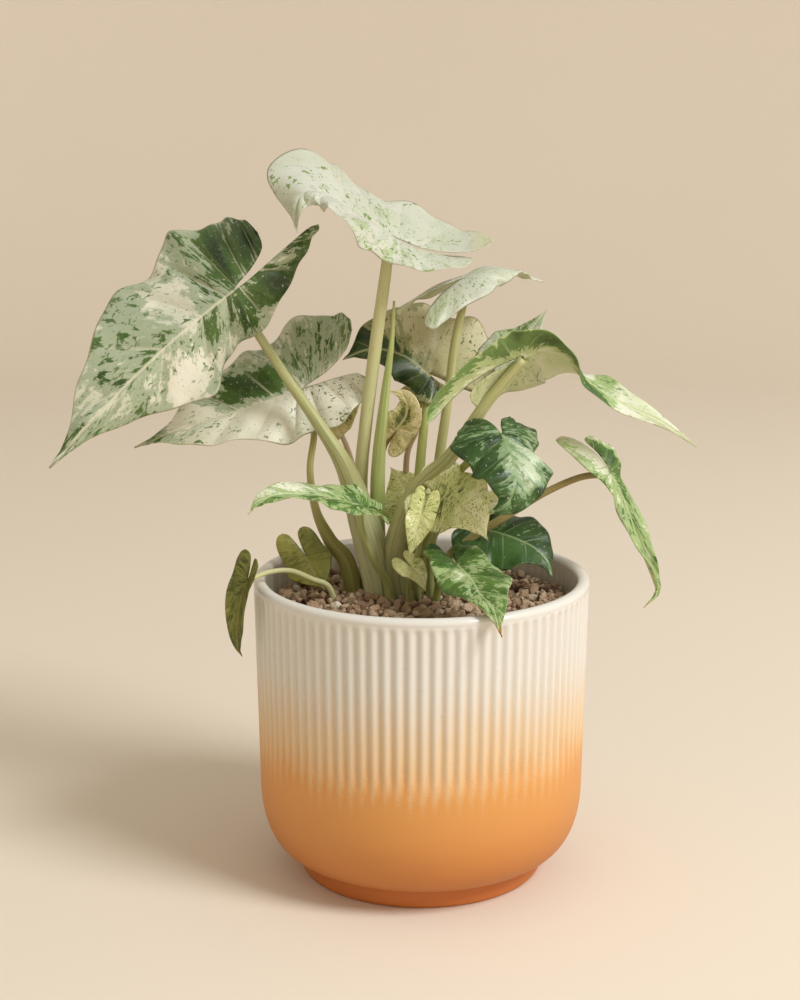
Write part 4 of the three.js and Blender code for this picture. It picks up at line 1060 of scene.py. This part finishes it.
for number, (name, leaf) in enumerate(LEAVES.items()):
    tints, tone, patches = MARKS[name]
    leaf = {**COMMON_LEAF, **leaf, "tone": tone, "patches": patches}
    leaf["pucker"] = PUCKER.get(name, COMMON_PUCKER)
    leaf["scorch"] = SCORCH.get(name, COMMON_SCORCH)
    look = TINTS[tints]
    words = name.replace("_", " ")
    upper = leaf_finish(words + " upper tissue", look, number + 1, False)
    under = leaf_finish(words + " under tissue", look, number + 1, True)
    bm = make_blade(leaf, *BLADE_MESH.get(name, COMMON_MESH))
    new_piece(bm, name + "_blade", "leaf_" + name, [upper, under])
    foot, head, stripe, strength, sheath, hollow = STALKS.get(name, COMMON_STALK)
    rib = [Vector(p) for p in leaf["rib"]]
    down = frames_down(rib, leaf["face"], 4)[0][2]
    points = [Vector(p) for p in leaf["stalk"]] + [rib[0] - down * leaf["thick"][-1] * 0.75]
    section = stalk_section(hollow, sheath, inward_angle(points))
    bm = make_stalk(points, leaf["thick"], *STALK_MESH, section)
    finish = stalk_finish(words + " stalk", foot, head, stripe, strength)
    new_piece(bm, name + "_petiole", "stalk_" + name, [finish])

spear_finish = stalk_finish("new leaf", rgb(132, 154, 76), rgb(176, 184, 120), rgb(96, 128, 50), 0.6)
path = [Vector(p) for p in SPEAR["path"]]
bm = make_stalk(path, SPEAR["thick"], *SPEAR_MESH, scroll_section)
new_piece(bm, "rolled_new_leaf", "spear_new_leaf", [spear_finish])

# Studio: a round paper cove in millimetres, one big soft light from the upper right in metres and
# watts, and an even warm light from all around.
COVE_FLOOR = 1500
COVE_BEND = 900
COVE_WALL = 1300
COVE_STEPS = 12
COVE_SIDES = 96
KEY_PLACE = (1.55, -1.05, 1.9)
KEY_AIM = (0, 0, 0.12)
KEY_SIZE = 1.0
KEY_POWER = 54
KEY_COLOUR = (0.97, 0.985, 1.0)
FILL_COLOUR = (1.0, 0.94, 0.8, 1)
FILL_STRENGTH = 0.55
bm = bmesh.new()
outline = [(0, 0), (COVE_FLOOR, 0)]
for step in range(1, COVE_STEPS + 1):
    turn = math.pi / 2 * step / COVE_STEPS
    outline.append((COVE_FLOOR + COVE_BEND * math.sin(turn), COVE_BEND * (1 - math.cos(turn))))
outline.append((COVE_FLOOR + COVE_BEND, COVE_WALL))
corners = [bm.verts.new((radius, 0, height)) for radius, height in outline]
edges = [bm.edges.new(pair) for pair in zip(corners, corners[1:])]
bmesh.ops.spin(
    bm, geom=corners + edges, cent=(0, 0, 0), axis=(0, 0, 1), angle=2 * math.pi, steps=COVE_SIDES,
    use_merge=True,
)
bmesh.ops.remove_doubles(bm, verts=bm.verts[:], dist=0.01)
cove = mesh_object(bm, "studio_cove", [paper_finish()])

lamp = bpy.data.lights.new("key", "AREA")
lamp.shape = "DISK"
lamp.size = KEY_SIZE
lamp.energy = KEY_POWER
lamp.color = KEY_COLOUR
light = add_object("key", lamp)
light.location = KEY_PLACE
light.rotation_euler = (Vector(KEY_AIM) - Vector(KEY_PLACE)).to_track_quat("-Z", "Y").to_euler()
world = bpy.data.worlds.new("studio")
world.use_nodes = True
fill = world.node_tree.nodes["Background"].inputs
fill["Color"].default_value = FILL_COLOUR
fill["Strength"].default_value = FILL_STRENGTH
bpy.context.scene.world = world
bpy.context.scene.view_settings.view_transform = "Standard"
